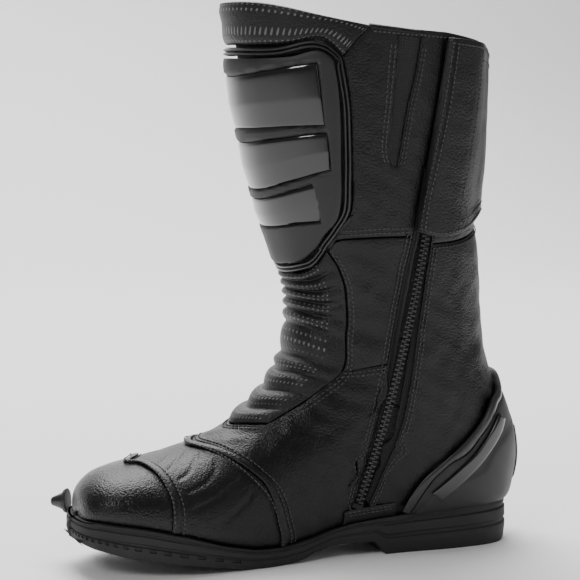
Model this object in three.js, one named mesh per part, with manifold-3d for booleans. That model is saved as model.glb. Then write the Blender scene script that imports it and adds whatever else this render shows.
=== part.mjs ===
// Riding boot for the right foot: leather upper, zip on the inner side, moulded armour, rubber sole.
// Millimetres, +Z up, toe towards -X, inner side towards -Y, standing on Z = 0.
import * as THREE from "three";
import Module from "manifold-3d";
import { mergeVertices } from "three/addons/utils/BufferGeometryUtils.js";

const wasm = await Module();
wasm.setup();

// Overall sizes. The section table below is graded to them.
const LENGTH = 300;
const BALL_WIDTH = 101;
const HEIGHT = 350;

// Layers, measured outwards from the outer face of the leather.
const LEATHER = 1.6;
const LAYER_GAP = 0.6;
const PAD = 1.8;
const LINING = 1.2;
const SEAM_GAP = 0.7;
const ON_TOP = 0.5;
const HEEL_GAP = 1.2;

// Sole.
const RIM_WALL = 3.6;
const RIM_SWELL = 0.8;
const RIM_CLEARANCE = 1;
const RIM_RISE = 2.4;
const CUFF_GAP = 0.7;
const SIDE_SEAM_GAP = 2.6;
const FLOOR_DROP = 2.8;
const BOARD = { thickness: 1.6, from: 1.6, to: 12.1, inset: 3.4 };
const COUNTER = 1.1;
const COUNTER_GAP = 1.3;
const SHANK = { thickness: 1.2, width: 16, from: -12, to: 105 };
const FILLER = { thickness: 1.5, share: 0.62, from: -112, to: -42 };
const FOOTBED = { thickness: 3, rise: 7.6, share: 0.62, from: -120, to: 112 };
const HEEL = { front: 50, back: 132 };

// Armour.
const PLATE = 2.4;
const PLATE_RIM = 4.2;
const WINDOW = 1.3;
const CUP = 2.5;
const CUP_RIM = { width: 4.3, thickness: 3.4 };
const INLAY = 1;
const GUARD = 2;
const TRIM = { width: 5, thickness: 1.2, lift: 0.9 };
const RIB = { count: 10, height: 3.2, base: 0.2 };

// Zip, along a shallow arc up the inner side: its two ends at the nominal overall sizes, and how far it
// bows towards the heel.
const ZIP = { chainWidth: 5.6, chainProud: 1.2, chainDeep: 1.0, tapeThickness: 0.8, tapeDeep: 1.4 };
const ZIP_FOOT = new THREE.Vector3(30, -38.8, 36);
const ZIP_HEAD = new THREE.Vector3(76, -51.2, 252);
const ZIP_BOW = 6.6;
const SLIDER = { length: 13, width: 9, roof: 1.3, skirt: 1.1, clearance: 0.35, down: 6 };
const PULL = { length: 24, width: 6, thickness: 1.4, clearance: 0.35 };

// Flap over the head of the zip.
const FLAP = { thickness: 1.8, atHinge: 1.5, overZip: 6.8, atPatch: 3.0 };
const TOUCH_TAPE = 0.8;
const TOE_KNOB = { baseRadius: 8, baseThickness: 2.4, radius: 5.5, tipRadius: 2, length: 8.5 };

// Colours.
const BLACK_LEATHER = 0x1c1c1e;
const GLOSS_BLACK = 0x0c0b0a;
const MATTE_BLACK = 0x2e2e30;
const RUBBER_BLACK = 0x262627;
const STRETCH_BLACK = 0x202022;
const LINING_GREY = 0x3a3a3d;
const STEEL = 0x9a9ca0;
const BOARD_BROWN = 0x8a7458;

// Sections of the outer face from toe tip to collar: x and z of the front or top point, x and z of the
// back or bottom point, half width on the inner and the outer side, y of the middle, how far down the
// widest point lies, and how square the front and the back of the section are.
const GRADED = { length: 300, width: 101, height: 350 };
const SECTIONS = [
  [-147, 40, -147, 38, 0, 0, -8, 0.55, 2.0, 2.0],
  [-145.5, 49, -146, 34, 15, 15, -8, 0.6, 2.0, 2.4],
  [-141, 55.5, -142, 31.5, 25, 26, -7, 0.62, 2.0, 2.8],
  [-132, 61, -134, 31, 33.5, 35, -5, 0.64, 2.05, 3.2],
  [-118, 64.5, -121, 29, 40, 42.5, -3, 0.67, 2.1, 3.6],
  [-101, 67.5, -103, 25, 45, 48, -1.5, 0.7, 2.1, 3.8],
  [-82, 71, -82, 19, 48.5, 52, 0, 0.72, 2.1, 4.0],
  [-62, 77.5, -58, 12.5, 48.5, 52.5, 0, 0.72, 2.1, 4.0],
  [-43, 86, -34, 8.5, 46, 50, 0, 0.7, 2.1, 4.2],
  [-27, 97.5, -8, 10, 42.5, 46.5, 0, 0.66, 2.15, 4.4],
  [-14, 112, 22, 17, 40, 43.5, 0, 0.62, 2.2, 4.4],
  [-6, 127, 62, 20.5, 40, 42, 0, 0.58, 2.3, 4.2],
  [-3, 139, 108, 22, 42, 43, 0, 0.55, 2.3, 3.8],
  [-2, 148, 138, 25.5, 43.3, 44, 0, 0.53, 2.3, 3.0],
  [-1.5, 155, 148, 42, 44.3, 44.5, 0, 0.52, 2.3, 2.4],
  [-1.5, 161, 150, 60, 44.8, 45, 0, 0.51, 2.25, 2.3],
  [-2, 168, 146.5, 82, 44.8, 45, 0, 0.5, 2.2, 2.25],
  [-3, 176, 138, 105, 45, 45.5, 0, 0.5, 2.2, 2.2],
  [-6, 187, 130.5, 130, 45.5, 46, 0, 0.5, 2.2, 2.2],
  [-10.5, 201, 127.5, 158, 46.5, 47, 0, 0.5, 2.2, 2.2],
  [-17, 219, 125.5, 188, 49, 49.5, 0, 0.5, 2.2, 2.2],
  [-24, 243, 122, 220, 51.5, 52.5, 0, 0.5, 2.2, 2.2],
  [-31, 272, 124.5, 255, 54, 55, 0, 0.5, 2.2, 2.2],
  [-37, 303, 125.5, 290, 56.5, 57.5, 0, 0.5, 2.2, 2.2],
  [-44, 350, 126, 330, 58.5, 59, 0, 0.5, 2.2, 2.2],
];
const LAST = SECTIONS.length - 1;

// Height of the feather line, where the upper meets the rubber, along x.
const FEATHER = [
  [-150, 35], [-138, 35], [-112, 31], [-87, 25], [-62, 17], [-40, 12], [-20, 11.5],
  [0, 15], [25, 22], [50, 24], [84, 26], [121, 28], [152, 29],
];
// Height of the tread along x: toe spring, ball, arch.
const TREAD = [
  [-155, 26], [-139, 19], [-124, 14.5], [-99, 9.5], [-71, 5], [-45, 0.5], [-36, 0],
  [-20, 0], [-10, 1.5], [2, 6], [15, 9.5], [36, 9], [50, 9],
];

const grade = {
  x: LENGTH / GRADED.length,
  y: BALL_WIDTH / GRADED.width,
  z: HEIGHT / GRADED.height,
};
const SECTION_SCALE = [
  grade.x, grade.z, grade.x, grade.z, grade.y, grade.y, grade.y, 1, 1, 1,
];
const graded = SECTIONS.map((row) => row.map((value, k) => value * SECTION_SCALE[k]));

// ---- the outer face of the upper ----

// The section at station v, by smooth interpolation. Past the last row it runs on straight.
function sectionAt(v) {
  const i = THREE.MathUtils.clamp(Math.floor(v), 0, LAST - 1);
  const f = v - i;
  const a = graded[i];
  const b = graded[i + 1];
  const before = graded[Math.max(i - 1, 0)];
  const after = graded[Math.min(i + 2, LAST)];
  return a.map((value, k) => {
    if (f > 1) return b[k] + (f - 1) * (b[k] - value);
    const startSlope = i === 0 ? b[k] - value : (b[k] - before[k]) / 2;
    const endSlope = i === LAST - 1 ? b[k] - value : (after[k] - value) / 2;
    const f2 = f * f;
    const f3 = f2 * f;
    return (
      (2 * f3 - 3 * f2 + 1) * value + (f3 - 2 * f2 + f) * startSlope
      + (3 * f2 - 2 * f3) * b[k] + (f3 - f2) * endSlope
    );
  });
}

// A point of the outer face. Girth g runs from 0 at the front or top to 1 at the back or bottom,
// negative on the inner side, and wraps past 1.
function facePoint(v, g) {
  const [fx, fz, bx, bz, inner, outer, mid, widest, squareFront, squareBack] = sectionAt(v);
  const girth = g > 1 ? g - 2 : g < -1 ? g + 2 : g;
  const angle = Math.abs(girth) * Math.PI;
  const front = angle <= Math.PI / 2;
  const power = 2 / (front ? squareFront : squareBack);
  const run = Math.abs(Math.cos(angle)) ** power;
  const down = front ? widest * (1 - run) : widest + (1 - widest) * run;
  const across = Math.abs(Math.sin(angle)) ** power * (girth < 0 ? -inner : outer);
  return new THREE.Vector3(fx + (bx - fx) * down, mid + across, fz + (bz - fz) * down);
}

const PROBE = 0.004;
const TOE_POLE = 1e-6;

// The outward normal of the outer face.
function faceNormal(v, g) {
  if (v < TOE_POLE) return new THREE.Vector3(-1, 0, 0);
  const low = Math.max(v - PROBE, 0);
  const alongV = facePoint(v + PROBE, g).sub(facePoint(low, g));
  const alongG = facePoint(v, g + PROBE).sub(facePoint(v, g - PROBE));
  const normal = alongV.cross(alongG).normalize();
  const [fx, fz, bx, bz, , , mid, widest] = sectionAt(v);
  const core = new THREE.Vector3(fx + (bx - fx) * widest, mid, fz + (bz - fz) * widest);
  return normal.dot(facePoint(v, g).sub(core)) < 0 ? normal.negate() : normal;
}

function lifted(v, g, lift) {
  return facePoint(v, g).addScaledVector(faceNormal(v, g), lift);
}

// Piecewise curve through rows of [at, value].
function profile(rows) {
  return (at) => {
    const i = THREE.MathUtils.clamp(rows.findIndex((row) => row[0] > at), 1, rows.length - 1);
    const [a, b] = [rows[i - 1], rows[i]];
    const share = THREE.MathUtils.clamp((at - a[0]) / (b[0] - a[0]), 0, 1);
    return a[1] + (b[1] - a[1]) * share;
  };
}

const featherRow = profile(FEATHER);
const treadRow = profile(TREAD);
const featherHeight = (x) => featherRow(x / grade.x) * grade.z;

const CLOSED = 0.97;
// Girth of the feather line at station v. Where the section stays above it, the edges nearly meet.
function featherGirth(v, rise = 0) {
  const above = (g) => {
    const p = facePoint(v, g);
    return p.z - featherHeight(p.x) - rise;
  };
  if (above(CLOSED) >= 0) return CLOSED;
  let low = 0.5;
  let high = CLOSED;
  for (let i = 0; i < 30; i++) {
    const middle = (low + high) / 2;
    if (above(middle) > 0) low = middle;
    else high = middle;
  }
  return low;
}

// The last station whose section reaches down to the feather line.
function lastFeatherStation(rise = 0) {
  let low = 12;
  let high = 14;
  for (let i = 0; i < 30; i++) {
    const middle = (low + high) / 2;
    if (featherGirth(middle, rise) < CLOSED) low = middle;
    else high = middle;
  }
  return low;
}
const HEEL_END = lastFeatherStation();

// ---- seams, as curves of (station, girth) ----

function seam(points) {
  const curve = new THREE.SplineCurve(points.map(([v, g]) => new THREE.Vector2(v, g)));
  return (t) => curve.getPoint(t);
}
// Station and girth of the side-view point [x, z] on the outer face, both at the nominal sizes.
function onSide([x, z]) {
  const [px, pz] = [x * grade.x, z * grade.z];
  const past = (v) => {
    const [fx, fz, bx, bz] = sectionAt(v);
    return (bx - fx) * (pz - fz) - (bz - fz) * (px - fx);
  };
  let low = 1;
  let high = LAST;
  for (let i = 0; i < 40; i++) {
    const middle = (low + high) / 2;
    if (past(middle) > 0) low = middle;
    else high = middle;
  }
  const [fx, fz, bx, bz, , , , widest, squareFront, squareBack] = sectionAt(low);
  const down = ((px - fx) * (bx - fx) + (pz - fz) * (bz - fz)) / ((bx - fx) ** 2 + (bz - fz) ** 2);
  if (down <= widest) return [low, Math.acos((1 - down / widest) ** (squareFront / 2)) / Math.PI];
  return [low, 1 - Math.acos(((down - widest) / (1 - widest)) ** (squareBack / 2)) / Math.PI];
}
const sideSeam = (points) => seam(points.map(onSide));
// A side seam that starts on the feather line below its first point.
function fromFeather(points) {
  const rows = points.map(onSide);
  const v = rows[0][0];
  return seam([[v, featherGirth(v)], ...rows]);
}
const mirrored = (edge) => (t) => {
  const p = edge(t);
  return new THREE.Vector2(p.x, -p.y);
};
const reversed = (edge) => (t) => edge(1 - t);
// Two edges end to end, the first taking the given share of the way.
const joined = (first, second, share) => (t) =>
  t < share ? first(t / share) : second((t - share) / (1 - share));
const straight = (a, b) => (t) => a.clone().lerp(b, t);
// A stretch of an edge.
const stretch = (edge, from, to) => (t) => edge(from + (to - from) * t);
// The feather line, or a line a rise above it, between two stations, on the inner side for side -1.
const feather = (from, to, side, rise = 0) => (t) => {
  const v = from + (to - from) * t;
  return new THREE.Vector2(v, side * featherGirth(v, rise));
};

const STEP = 0.02;
// An edge moved by millimetres along the stations and along the girth.
function moved(edge, alongStations, alongGirth) {
  return (t) => {
    const { x: v, y: g } = edge(t);
    const perStation = facePoint(v + STEP, g).distanceTo(facePoint(v, g)) / STEP;
    const perGirth = facePoint(v, g + STEP).distanceTo(facePoint(v, g - STEP)) / (2 * STEP);
    return new THREE.Vector2(v + alongStations / perStation, g + alongGirth / perGirth);
  };
}

// A region with four edges: low and high run across it, start and end run up its sides.
// A corner takes its station from the edge across and its girth from the edge up.
function region(low, high, start = straight(low(0), high(0)), end = straight(low(1), high(1))) {
  const corner = (across, s, up, t) => new THREE.Vector2(across(s).x, up(t).y);
  const corners = [corner(low, 0, start, 0), corner(low, 1, end, 0),
    corner(high, 0, start, 1), corner(high, 1, end, 1)];
  const fitted = (edge, first, last) => {
    const [a, b] = [first.clone().sub(edge(0)), last.clone().sub(edge(1))];
    return (t) => edge(t).clone().addScaledVector(a, 1 - t).addScaledVector(b, t);
  };
  const fitLow = fitted(low, corners[0], corners[1]);
  const fitHigh = fitted(high, corners[2], corners[3]);
  const fitStart = fitted(start, corners[0], corners[2]);
  const fitEnd = fitted(end, corners[1], corners[3]);
  return (s, t) => {
    const p = fitLow(s).multiplyScalar(1 - t).addScaledVector(fitHigh(s), t);
    p.addScaledVector(fitStart(t), 1 - s).addScaledVector(fitEnd(t), s);
    p.addScaledVector(corners[0], -(1 - s) * (1 - t)).addScaledVector(corners[1], -s * (1 - t));
    return p.addScaledVector(corners[2], -(1 - s) * t).addScaledVector(corners[3], -s * t);
  };
}

// ---- solids ----

const MERGE = 1e-3;

// A closed mesh from points and triangles: equal points merged, collapsed triangles dropped.
function closed(points, triangles) {
  const positions = new Float32Array(triangles.flatMap((k) => points[k].toArray()));
  const loose = new THREE.BufferGeometry();
  loose.setAttribute("position", new THREE.BufferAttribute(positions, 3));
  const merged = mergeVertices(loose, MERGE);
  const index = [...merged.index.array];
  const kept = [];
  for (let i = 0; i < index.length; i += 3) {
    const [a, b, c] = index.slice(i, i + 3);
    if (a !== b && b !== c && c !== a) kept.push(a, b, c);
  }
  merged.setIndex(kept);
  return volumeOf(merged) < 0 ? flipped(merged) : merged;
}

function volumeOf(geometry) {
  const at = geometry.attributes.position;
  const [a, b, c] = [new THREE.Vector3(), new THREE.Vector3(), new THREE.Vector3()];
  let sum = 0;
  const index = geometry.index.array;
  for (let i = 0; i < index.length; i += 3) {
    a.fromBufferAttribute(at, index[i]);
    b.fromBufferAttribute(at, index[i + 1]);
    c.fromBufferAttribute(at, index[i + 2]);
    sum += a.dot(b.cross(c));
  }
  return sum / 6;
}

function flipped(geometry) {
  const index = [...geometry.index.array];
  for (let i = 0; i < index.length; i += 3) {
    [index[i + 1], index[i + 2]] = [index[i + 2], index[i + 1]];
  }
  geometry.setIndex(index);
  return geometry;
}

// A solid between two grids of the same size. With ring, the last column meets the first.
function between(under, over, across, along, ring = false) {
  const columns = ring ? across : across + 1;
  const points = [];
  for (const face of [under, over]) {
    for (let j = 0; j <= along; j++) {
      for (let i = 0; i < columns; i++) points.push(face(i / across, j / along));
    }
  }
  const layer = columns * (along + 1);
  const at = (k, i, j) => k * layer + j * columns + (i % columns);
  const triangles = [];
  const quad = (a, b, c, d) => triangles.push(a, b, c, a, c, d);
  for (let j = 0; j < along; j++) {
    for (let i = 0; i < across; i++) {
      quad(at(0, i, j), at(0, i, j + 1), at(0, i + 1, j + 1), at(0, i + 1, j));
      quad(at(1, i, j), at(1, i + 1, j), at(1, i + 1, j + 1), at(1, i, j + 1));
    }
  }
  for (let i = 0; i < across; i++) {
    quad(at(0, i, 0), at(0, i + 1, 0), at(1, i + 1, 0), at(1, i, 0));
    quad(at(0, i + 1, along), at(0, i, along), at(1, i, along), at(1, i + 1, along));
  }
  for (let j = 0; j < along && !ring; j++) {
    quad(at(0, 0, j + 1), at(0, 0, j), at(1, 0, j), at(1, 0, j + 1));
    quad(at(0, across, j), at(0, across, j + 1), at(1, across, j + 1), at(1, across, j));
  }
  return closed(points, triangles);
}

// A sheet that follows the outer face between two lifts. A lift is a number or a function of (s, t).
function sheet(area, inner, outer, across, along, ring = false) {
  const face = (lift) => (s, t) => {
    const { x: v, y: g } = area(s, t);
    return lifted(v, g, typeof lift === "number" ? lift : lift(s, t));
  };
  return between(face(inner), face(outer), across, along, ring);
}

function solid(geometry) {
  const bare = geometry.clone().deleteAttribute("normal").deleteAttribute("uv");
  const merged = bare.index ? bare : mergeVertices(bare, MERGE);
  return new wasm.Manifold(new wasm.Mesh({
    numProp: 3,
    vertProperties: new Float32Array(merged.attributes.position.array),
    triVerts: new Uint32Array(merged.index.array),
  }));
}

function geometryOf(manifold) {
  const { vertProperties, triVerts, numProp } = manifold.getMesh();
  const count = vertProperties.length / numProp;
  const position = new Float32Array(count * 3);
  for (let i = 0; i < count; i++) {
    position.set(vertProperties.subarray(i * numProp, i * numProp + 3), i * 3);
  }
  const geometry = new THREE.BufferGeometry();
  geometry.setAttribute("position", new THREE.BufferAttribute(position, 3));
  return geometry.setIndex([...triVerts]);
}

const cut = (geometry, tool) => geometryOf(solid(geometry).subtract(solid(tool)));

const boot = new THREE.Group();
boot.name = "riding_boot";

function add(name, geometry, colour, roughness = 0.5, metalness = 0) {
  const material = new THREE.MeshStandardMaterial({ color: colour, roughness, metalness });
  geometry.computeVertexNormals();
  const mesh = new THREE.Mesh(geometry, material);
  mesh.name = name;
  boot.add(mesh);
}
const SIDES = [["medial", -1], ["lateral", 1]];

// ---- seam lines shared by neighbouring pieces (girth positive; mirrored for the inner side) ----

const HALF = SEAM_GAP / 2;
// A seam across the top of the foot, from the inner feather line over the top to the outer one.
function overFoot(rows) {
  const last = rows[rows.length - 1];
  const foot = [last[0], featherGirth(last[0])];
  const outer = [...rows, foot];
  const inner = [...outer].reverse().map(([v, g]) => [v, -g]);
  return seam([...inner.slice(0, -1), ...outer]);
}
const TOE_SEAM = overFoot([[4.35, 0], [4.75, 0.07], [5.05, 0.18], [5.28, 0.3], [5.45, 0.44]]);
const PAD_SEAM = overFoot([[6.68, 0], [6.85, 0.08], [7.3, 0.19], [7.98, 0.33], [8.45, 0.44], [8.62, 0.58]]);
// The ribbed panel: its sides climb from the instep to the shin plate.
const RIB_SIDE = seam([[8.95, 0.18], [9.8, 0.22], [10.7, 0.26], [11.6, 0.28], [12.4, 0.285], [14.5, 0.27],
  [16, 0.28], [17.1, 0.29], [18, 0.3], [18.7, 0.29], [19.2, 0.265]]);
const RIB_FOOT = seam([[8.95, -0.18], [8.38, -0.1], [7.98, 0], [8.38, 0.1], [8.95, 0.18]]);
const PLATE_FOOT = seam([[19.2, -0.265], [18.7, -0.22], [18.2, -0.17], [17.8, -0.1], [17.6, 0],
  [17.8, 0.1], [18.2, 0.17], [18.7, 0.22], [19.2, 0.265]]);
// Outer outline of the shin plate's rim, up one side, from the foot of the plate to its shoulder.
const RIM_SIDE = seam([[19.2, 0.265], [19.8, 0.31], [20.3, 0.36], [20.9, 0.385], [21.6, 0.393], [22.3, 0.4],
  [23, 0.4], [23.45, 0.39]]);
const RIM_TOP = seam([[23.45, -0.39], [23.66, -0.34], [23.55, -0.25], [23.5, -0.12], [23.5, 0],
  [23.5, 0.12], [23.55, 0.25], [23.66, 0.34], [23.45, 0.39]]);
// Front and rear edges of the zip opening.
const ZIP_FRONT = fromFeather([[24.5, 33], [28, 45], [35.5, 70], [43, 98], [47, 116], [49.5, 132], [53, 155],
  [58, 183], [63, 208]]);
const ZIP_REAR = fromFeather([[38, 34], [46, 53], [53, 69], [60, 90], [65, 120], [68.5, 147], [72, 172],
  [76, 203]]);
const CROSS_AT = 5.6 / 9;
const CROSS_SEAM = straight(ZIP_FRONT(CROSS_AT), RIB_SIDE(0.4));
const ZIP_FRONT_UPPER = sideSeam([[63, 208], [66.5, 228], [70, 252]]);
const ZIP_REAR_UPPER = sideSeam([[76, 203], [79, 228], [82, 252]]);
const CUFF_FOOT = seam([[19.2, 0.265], [19.6, 0.3], [19.9, 0.4], [20.2, 0.53]]);
const TOP = 23.92;
const CUFF_SEAM = sideSeam([[76, 252], [78, 280], [81, 305], [84, 334]]);
const COLLAR_REAR = seam([[23.45, 0.39], [23.7, 0.425], [TOP, 0.46]]);

// ---- upper, foot ----

const leather = (area, across, along) => sheet(area, -LEATHER, 0, across, along);

const toePole = straight(new THREE.Vector2(0, -CLOSED), new THREE.Vector2(0, CLOSED));
const toeEnd = moved(TOE_SEAM, -HALF, 0);
add("toe_cap", leather(
  region(toePole, toeEnd, feather(0, toeEnd(0).x, -1), feather(0, toeEnd(1).x, 1)), 18, 9,
), BLACK_LEATHER, 0.35);

const padStart = moved(TOE_SEAM, HALF, 0);
const padEnd = moved(PAD_SEAM, -HALF, 0);
add("shift_pad", leather(region(padStart, padEnd,
  feather(padStart(0).x, padEnd(0).x, -1), feather(padStart(1).x, padEnd(1).x, 1)), 20, 6,
), BLACK_LEATHER, 0.4);

// The vamp runs from the pad round the instep to the zip, and the same way on the outer side.
const vampStart = moved(PAD_SEAM, HALF, 0);
const innerSide = joined(
  moved(mirrored(stretch(ZIP_FRONT, 0, CROSS_AT)), 0, 0),
  joined(moved(mirrored(CROSS_SEAM), -HALF, 0), moved(mirrored(reversed(stretch(RIB_SIDE, 0, 0.4))), 0, -HALF), 3 / 9),
  8 / 17,
);
const vampEnd = joined(
  innerSide,
  joined(moved(RIB_FOOT, -HALF, 0), mirrored(reversed(innerSide)), 6 / 23),
  17 / 40,
);
add("vamp", leather(region(vampStart, vampEnd,
  feather(vampStart(0).x, vampEnd(0).x, -1), feather(vampStart(1).x, vampEnd(1).x, 1)), 40, 7,
), BLACK_LEATHER, 0.35);

// Trims lie over the two seams of the shift pad.
for (const [name, line, shift] of [["front", TOE_SEAM, 0], ["rear", PAD_SEAM, -TRIM.width / 2]]) {
  const low = moved(line, shift - TRIM.width / 2, 0);
  const high = moved(line, shift + TRIM.width / 2, 0);
  add(`shift_pad_${name}_trim`, sheet(region(low, high,
    feather(low(0).x, high(0).x, -1, RIM_RISE), feather(low(1).x, high(1).x, 1, RIM_RISE),
  ), TRIM.lift, TRIM.lift + TRIM.thickness, 20, 1), BLACK_LEATHER, 0.3);
}

// ---- upper, ankle ----

// Ribs run across the panel; the wave dies out towards its side seams.
const ribArea = region(
  moved(RIB_FOOT, HALF, 0), moved(PLATE_FOOT, -HALF, 0),
  moved(mirrored(RIB_SIDE), 0, HALF), moved(RIB_SIDE, 0, -HALF),
);
const ribLift = (s, t) => {
  const wave = Math.abs(Math.sin(Math.PI * RIB.count * t));
  const fade = Math.min(1, 4 * Math.min(s, 1 - s));
  return RIB.base + RIB.height * wave * fade;
};
add("flex_panel", sheet(ribArea, -LEATHER, ribLift, 8, 2 * RIB.count), BLACK_LEATHER, 0.4);

const ANKLE_FOOT = reversed(CROSS_SEAM);
for (const [label, side] of SIDES) {
  const turn = side < 0 ? mirrored : (edge) => edge;
  const area = region(
    moved(ANKLE_FOOT, HALF, 0), moved(CUFF_FOOT, -CUFF_GAP, 0),
    moved(stretch(RIB_SIDE, 0.4, 1), 0, SEAM_GAP), stretch(ZIP_FRONT, CROSS_AT, 1),
  );
  add(`ankle_panel_${label}`, leather((s, t) => turn(() => area(s, t))(0), 5, 9), BLACK_LEATHER, 0.35);
}

// Rear quarters: from the zip, or on the outer side a plain seam in its place, to the back seam.
const QUARTER_RISE = 0.9;
const QUARTER_END = lastFeatherStation(QUARTER_RISE);
const BACK_SEAM = seam([[QUARTER_END, 1], [15, 1], [17, 1], [19, 1], [20.9, 1]]);
const QUARTER_TOP = seam([[20.1, 0.585], [20.3, 0.7], [20.6, 0.85], [20.9, 1]]);
for (const [label, side] of SIDES) {
  const turn = side < 0 ? mirrored : (edge) => edge;
  const front = side < 0 ? ZIP_REAR : moved(ZIP_FRONT, SIDE_SEAM_GAP, SIDE_SEAM_GAP);
  const low = feather(front(0).x, QUARTER_END, 1, QUARTER_RISE);
  const high = side < 0 ? QUARTER_TOP : seam([[20.2, 0.532], [20.2, 0.7], [20.6, 0.85], [20.9, 1]]);
  const area = region(
    joined(straight(front(0), low(0.02)), stretch(low, 0.02, 1), 0.05), moved(high, -CUFF_GAP, 0),
    front, moved(BACK_SEAM, 0, -HALF),
  );
  add(`rear_quarter_${label}`, leather((s, t) => turn(() => area(s, t ** 1.6))(0), 12, 20), BLACK_LEATHER, 0.35);
}

// ---- upper, shaft ----

const plateGap = ON_TOP;
const cuffFront = joined(moved(RIM_SIDE, 0, plateGap), moved(COLLAR_REAR, 0, HALF), 0.8);
const innerCuff = region(
  moved(CUFF_FOOT, HALF, 0), straight(COLLAR_REAR(1), CUFF_SEAM(1)),
  cuffFront, joined(ZIP_FRONT_UPPER, moved(CUFF_SEAM, 0, -HALF), 0.38),
);
const SLOT_LEFT = seam([[21.6, 0.5], [21.9, 0.488], [22.75, 0.5], [23.4, 0.51], [24.2, 0.525]]);
const SLOT_RIGHT = seam([[21.6, 0.505], [21.9, 0.512], [22.75, 0.532], [23.4, 0.558], [24.2, 0.585]]);
const slot = region(mirrored(straight(SLOT_LEFT(0), SLOT_RIGHT(0))), mirrored(straight(SLOT_LEFT(1), SLOT_RIGHT(1))),
  mirrored(SLOT_LEFT), mirrored(SLOT_RIGHT));
const cuffSheet = leather((s, t) => mirrored(() => innerCuff(s, t))(0), 9, 8);
add("cuff_panel_medial", cut(cuffSheet, sheet(slot, -3 * LEATHER, 3 * LEATHER, 2, 8)), BLACK_LEATHER, 0.35);

const insertFoot = 0.04;
const insertEnd = 0.88;
add("stretch_insert", sheet(region(
  mirrored(straight(moved(SLOT_LEFT, 0, HALF)(insertFoot), moved(SLOT_RIGHT, 0, -HALF)(insertFoot))),
  mirrored(straight(moved(SLOT_LEFT, 0, HALF)(insertEnd), moved(SLOT_RIGHT, 0, -HALF)(insertEnd))),
  moved(mirrored(stretch(SLOT_LEFT, insertFoot, insertEnd)), 0, -HALF),
  moved(mirrored(stretch(SLOT_RIGHT, insertFoot, insertEnd)), 0, HALF),
), -LEATHER, 0, 2, 8), STRETCH_BLACK, 0.9);

const BACK_UPPER = seam([[20.9, 1], [22, 1], [23, 1], [TOP, 1]]);
const outerCuffFoot = joined(CUFF_FOOT, seam([[20.2, 0.53], [20.2, 0.7], [20.6, 0.85], [20.9, 1]]), 5 / 14);
add("cuff_panel_lateral", leather(region(
  moved(outerCuffFoot, HALF, 0), straight(COLLAR_REAR(1), BACK_UPPER(1)),
  cuffFront, moved(BACK_UPPER, 0, -HALF),
), 14, 7), BLACK_LEATHER, 0.35);
const rearCuff = region(
  moved(QUARTER_TOP, HALF, 0), straight(CUFF_SEAM(1), BACK_UPPER(1)),
  joined(ZIP_REAR_UPPER, moved(CUFF_SEAM, 0, HALF), 0.38), moved(BACK_UPPER, 0, -HALF),
);
add("rear_cuff_panel", leather((s, t) => mirrored(() => rearCuff(s, t))(0), 6, 8), BLACK_LEATHER, 0.35);

const COLLAR_TOP = seam([[TOP, -0.46], [23.97, -0.36], [24.06, -0.2], [24.06, 0], [24.06, 0.2],
  [23.97, 0.36], [TOP, 0.46]]);
const collarLift = (s, t) => 2.2 * Math.sin(Math.PI * Math.min(1, 0.15 + 0.7 * t));
add("collar", sheet(region(moved(RIM_TOP, 3 * plateGap, 0), COLLAR_TOP, mirrored(COLLAR_REAR), COLLAR_REAR),
  -LEATHER - PAD, collarLift, 14, 4), BLACK_LEATHER, 0.45);

// ---- shin armour ----

const RIM_WIDTH = 7;
const plateSide = moved(RIM_SIDE, 0, -RIM_WIDTH);
const plateFoot = moved(PLATE_FOOT, RIM_WIDTH, 0);
const plateTop = moved(RIM_TOP, -RIM_WIDTH, 0);
const cornerIn = 0.06;
function plateOutline(grow) {
  const side = moved(RIM_SIDE, 0, grow);
  const foot = moved(PLATE_FOOT, -grow, 0);
  const top = moved(RIM_TOP, grow, 0);
  const round = [
    ...[0.04, 0.25, 0.5, 0.75, 0.96].map(foot),
    ...[0.06, 0.2, 0.35, 0.5, 0.65, 0.8, 0.94].map(side),
    ...[0.96, 0.85, 0.7, 0.5, 0.3, 0.15, 0.04].map(top),
    ...[0.94, 0.8, 0.65, 0.5, 0.35, 0.2, 0.06].map(mirrored(side)),
  ];
  const curve = new THREE.SplineCurve([...round, round[0]]);
  return (t) => curve.getPoint(t);
}
const rimOuter = plateOutline(-ON_TOP);
const rimInner = plateOutline(-RIM_WIDTH + 3 * ON_TOP);
const rimArea = (s, t) => rimInner(s).lerp(rimOuter(s), t);
add("shin_plate_rim", sheet(rimArea, ON_TOP, (s, t) => ON_TOP + PLATE_RIM * (1 - 0.35 * t), 48, 2, true),
  MATTE_BLACK, 0.6);
const plateArea = region(
  stretch(plateFoot, cornerIn, 1 - cornerIn), stretch(plateTop, cornerIn, 1 - cornerIn),
  mirrored(stretch(plateSide, cornerIn, 1 - cornerIn)), stretch(plateSide, cornerIn, 1 - cornerIn),
);
add("shin_plate", sheet(plateArea, ON_TOP, ON_TOP + PLATE, 14, 12), MATTE_BLACK, 0.6);

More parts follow.
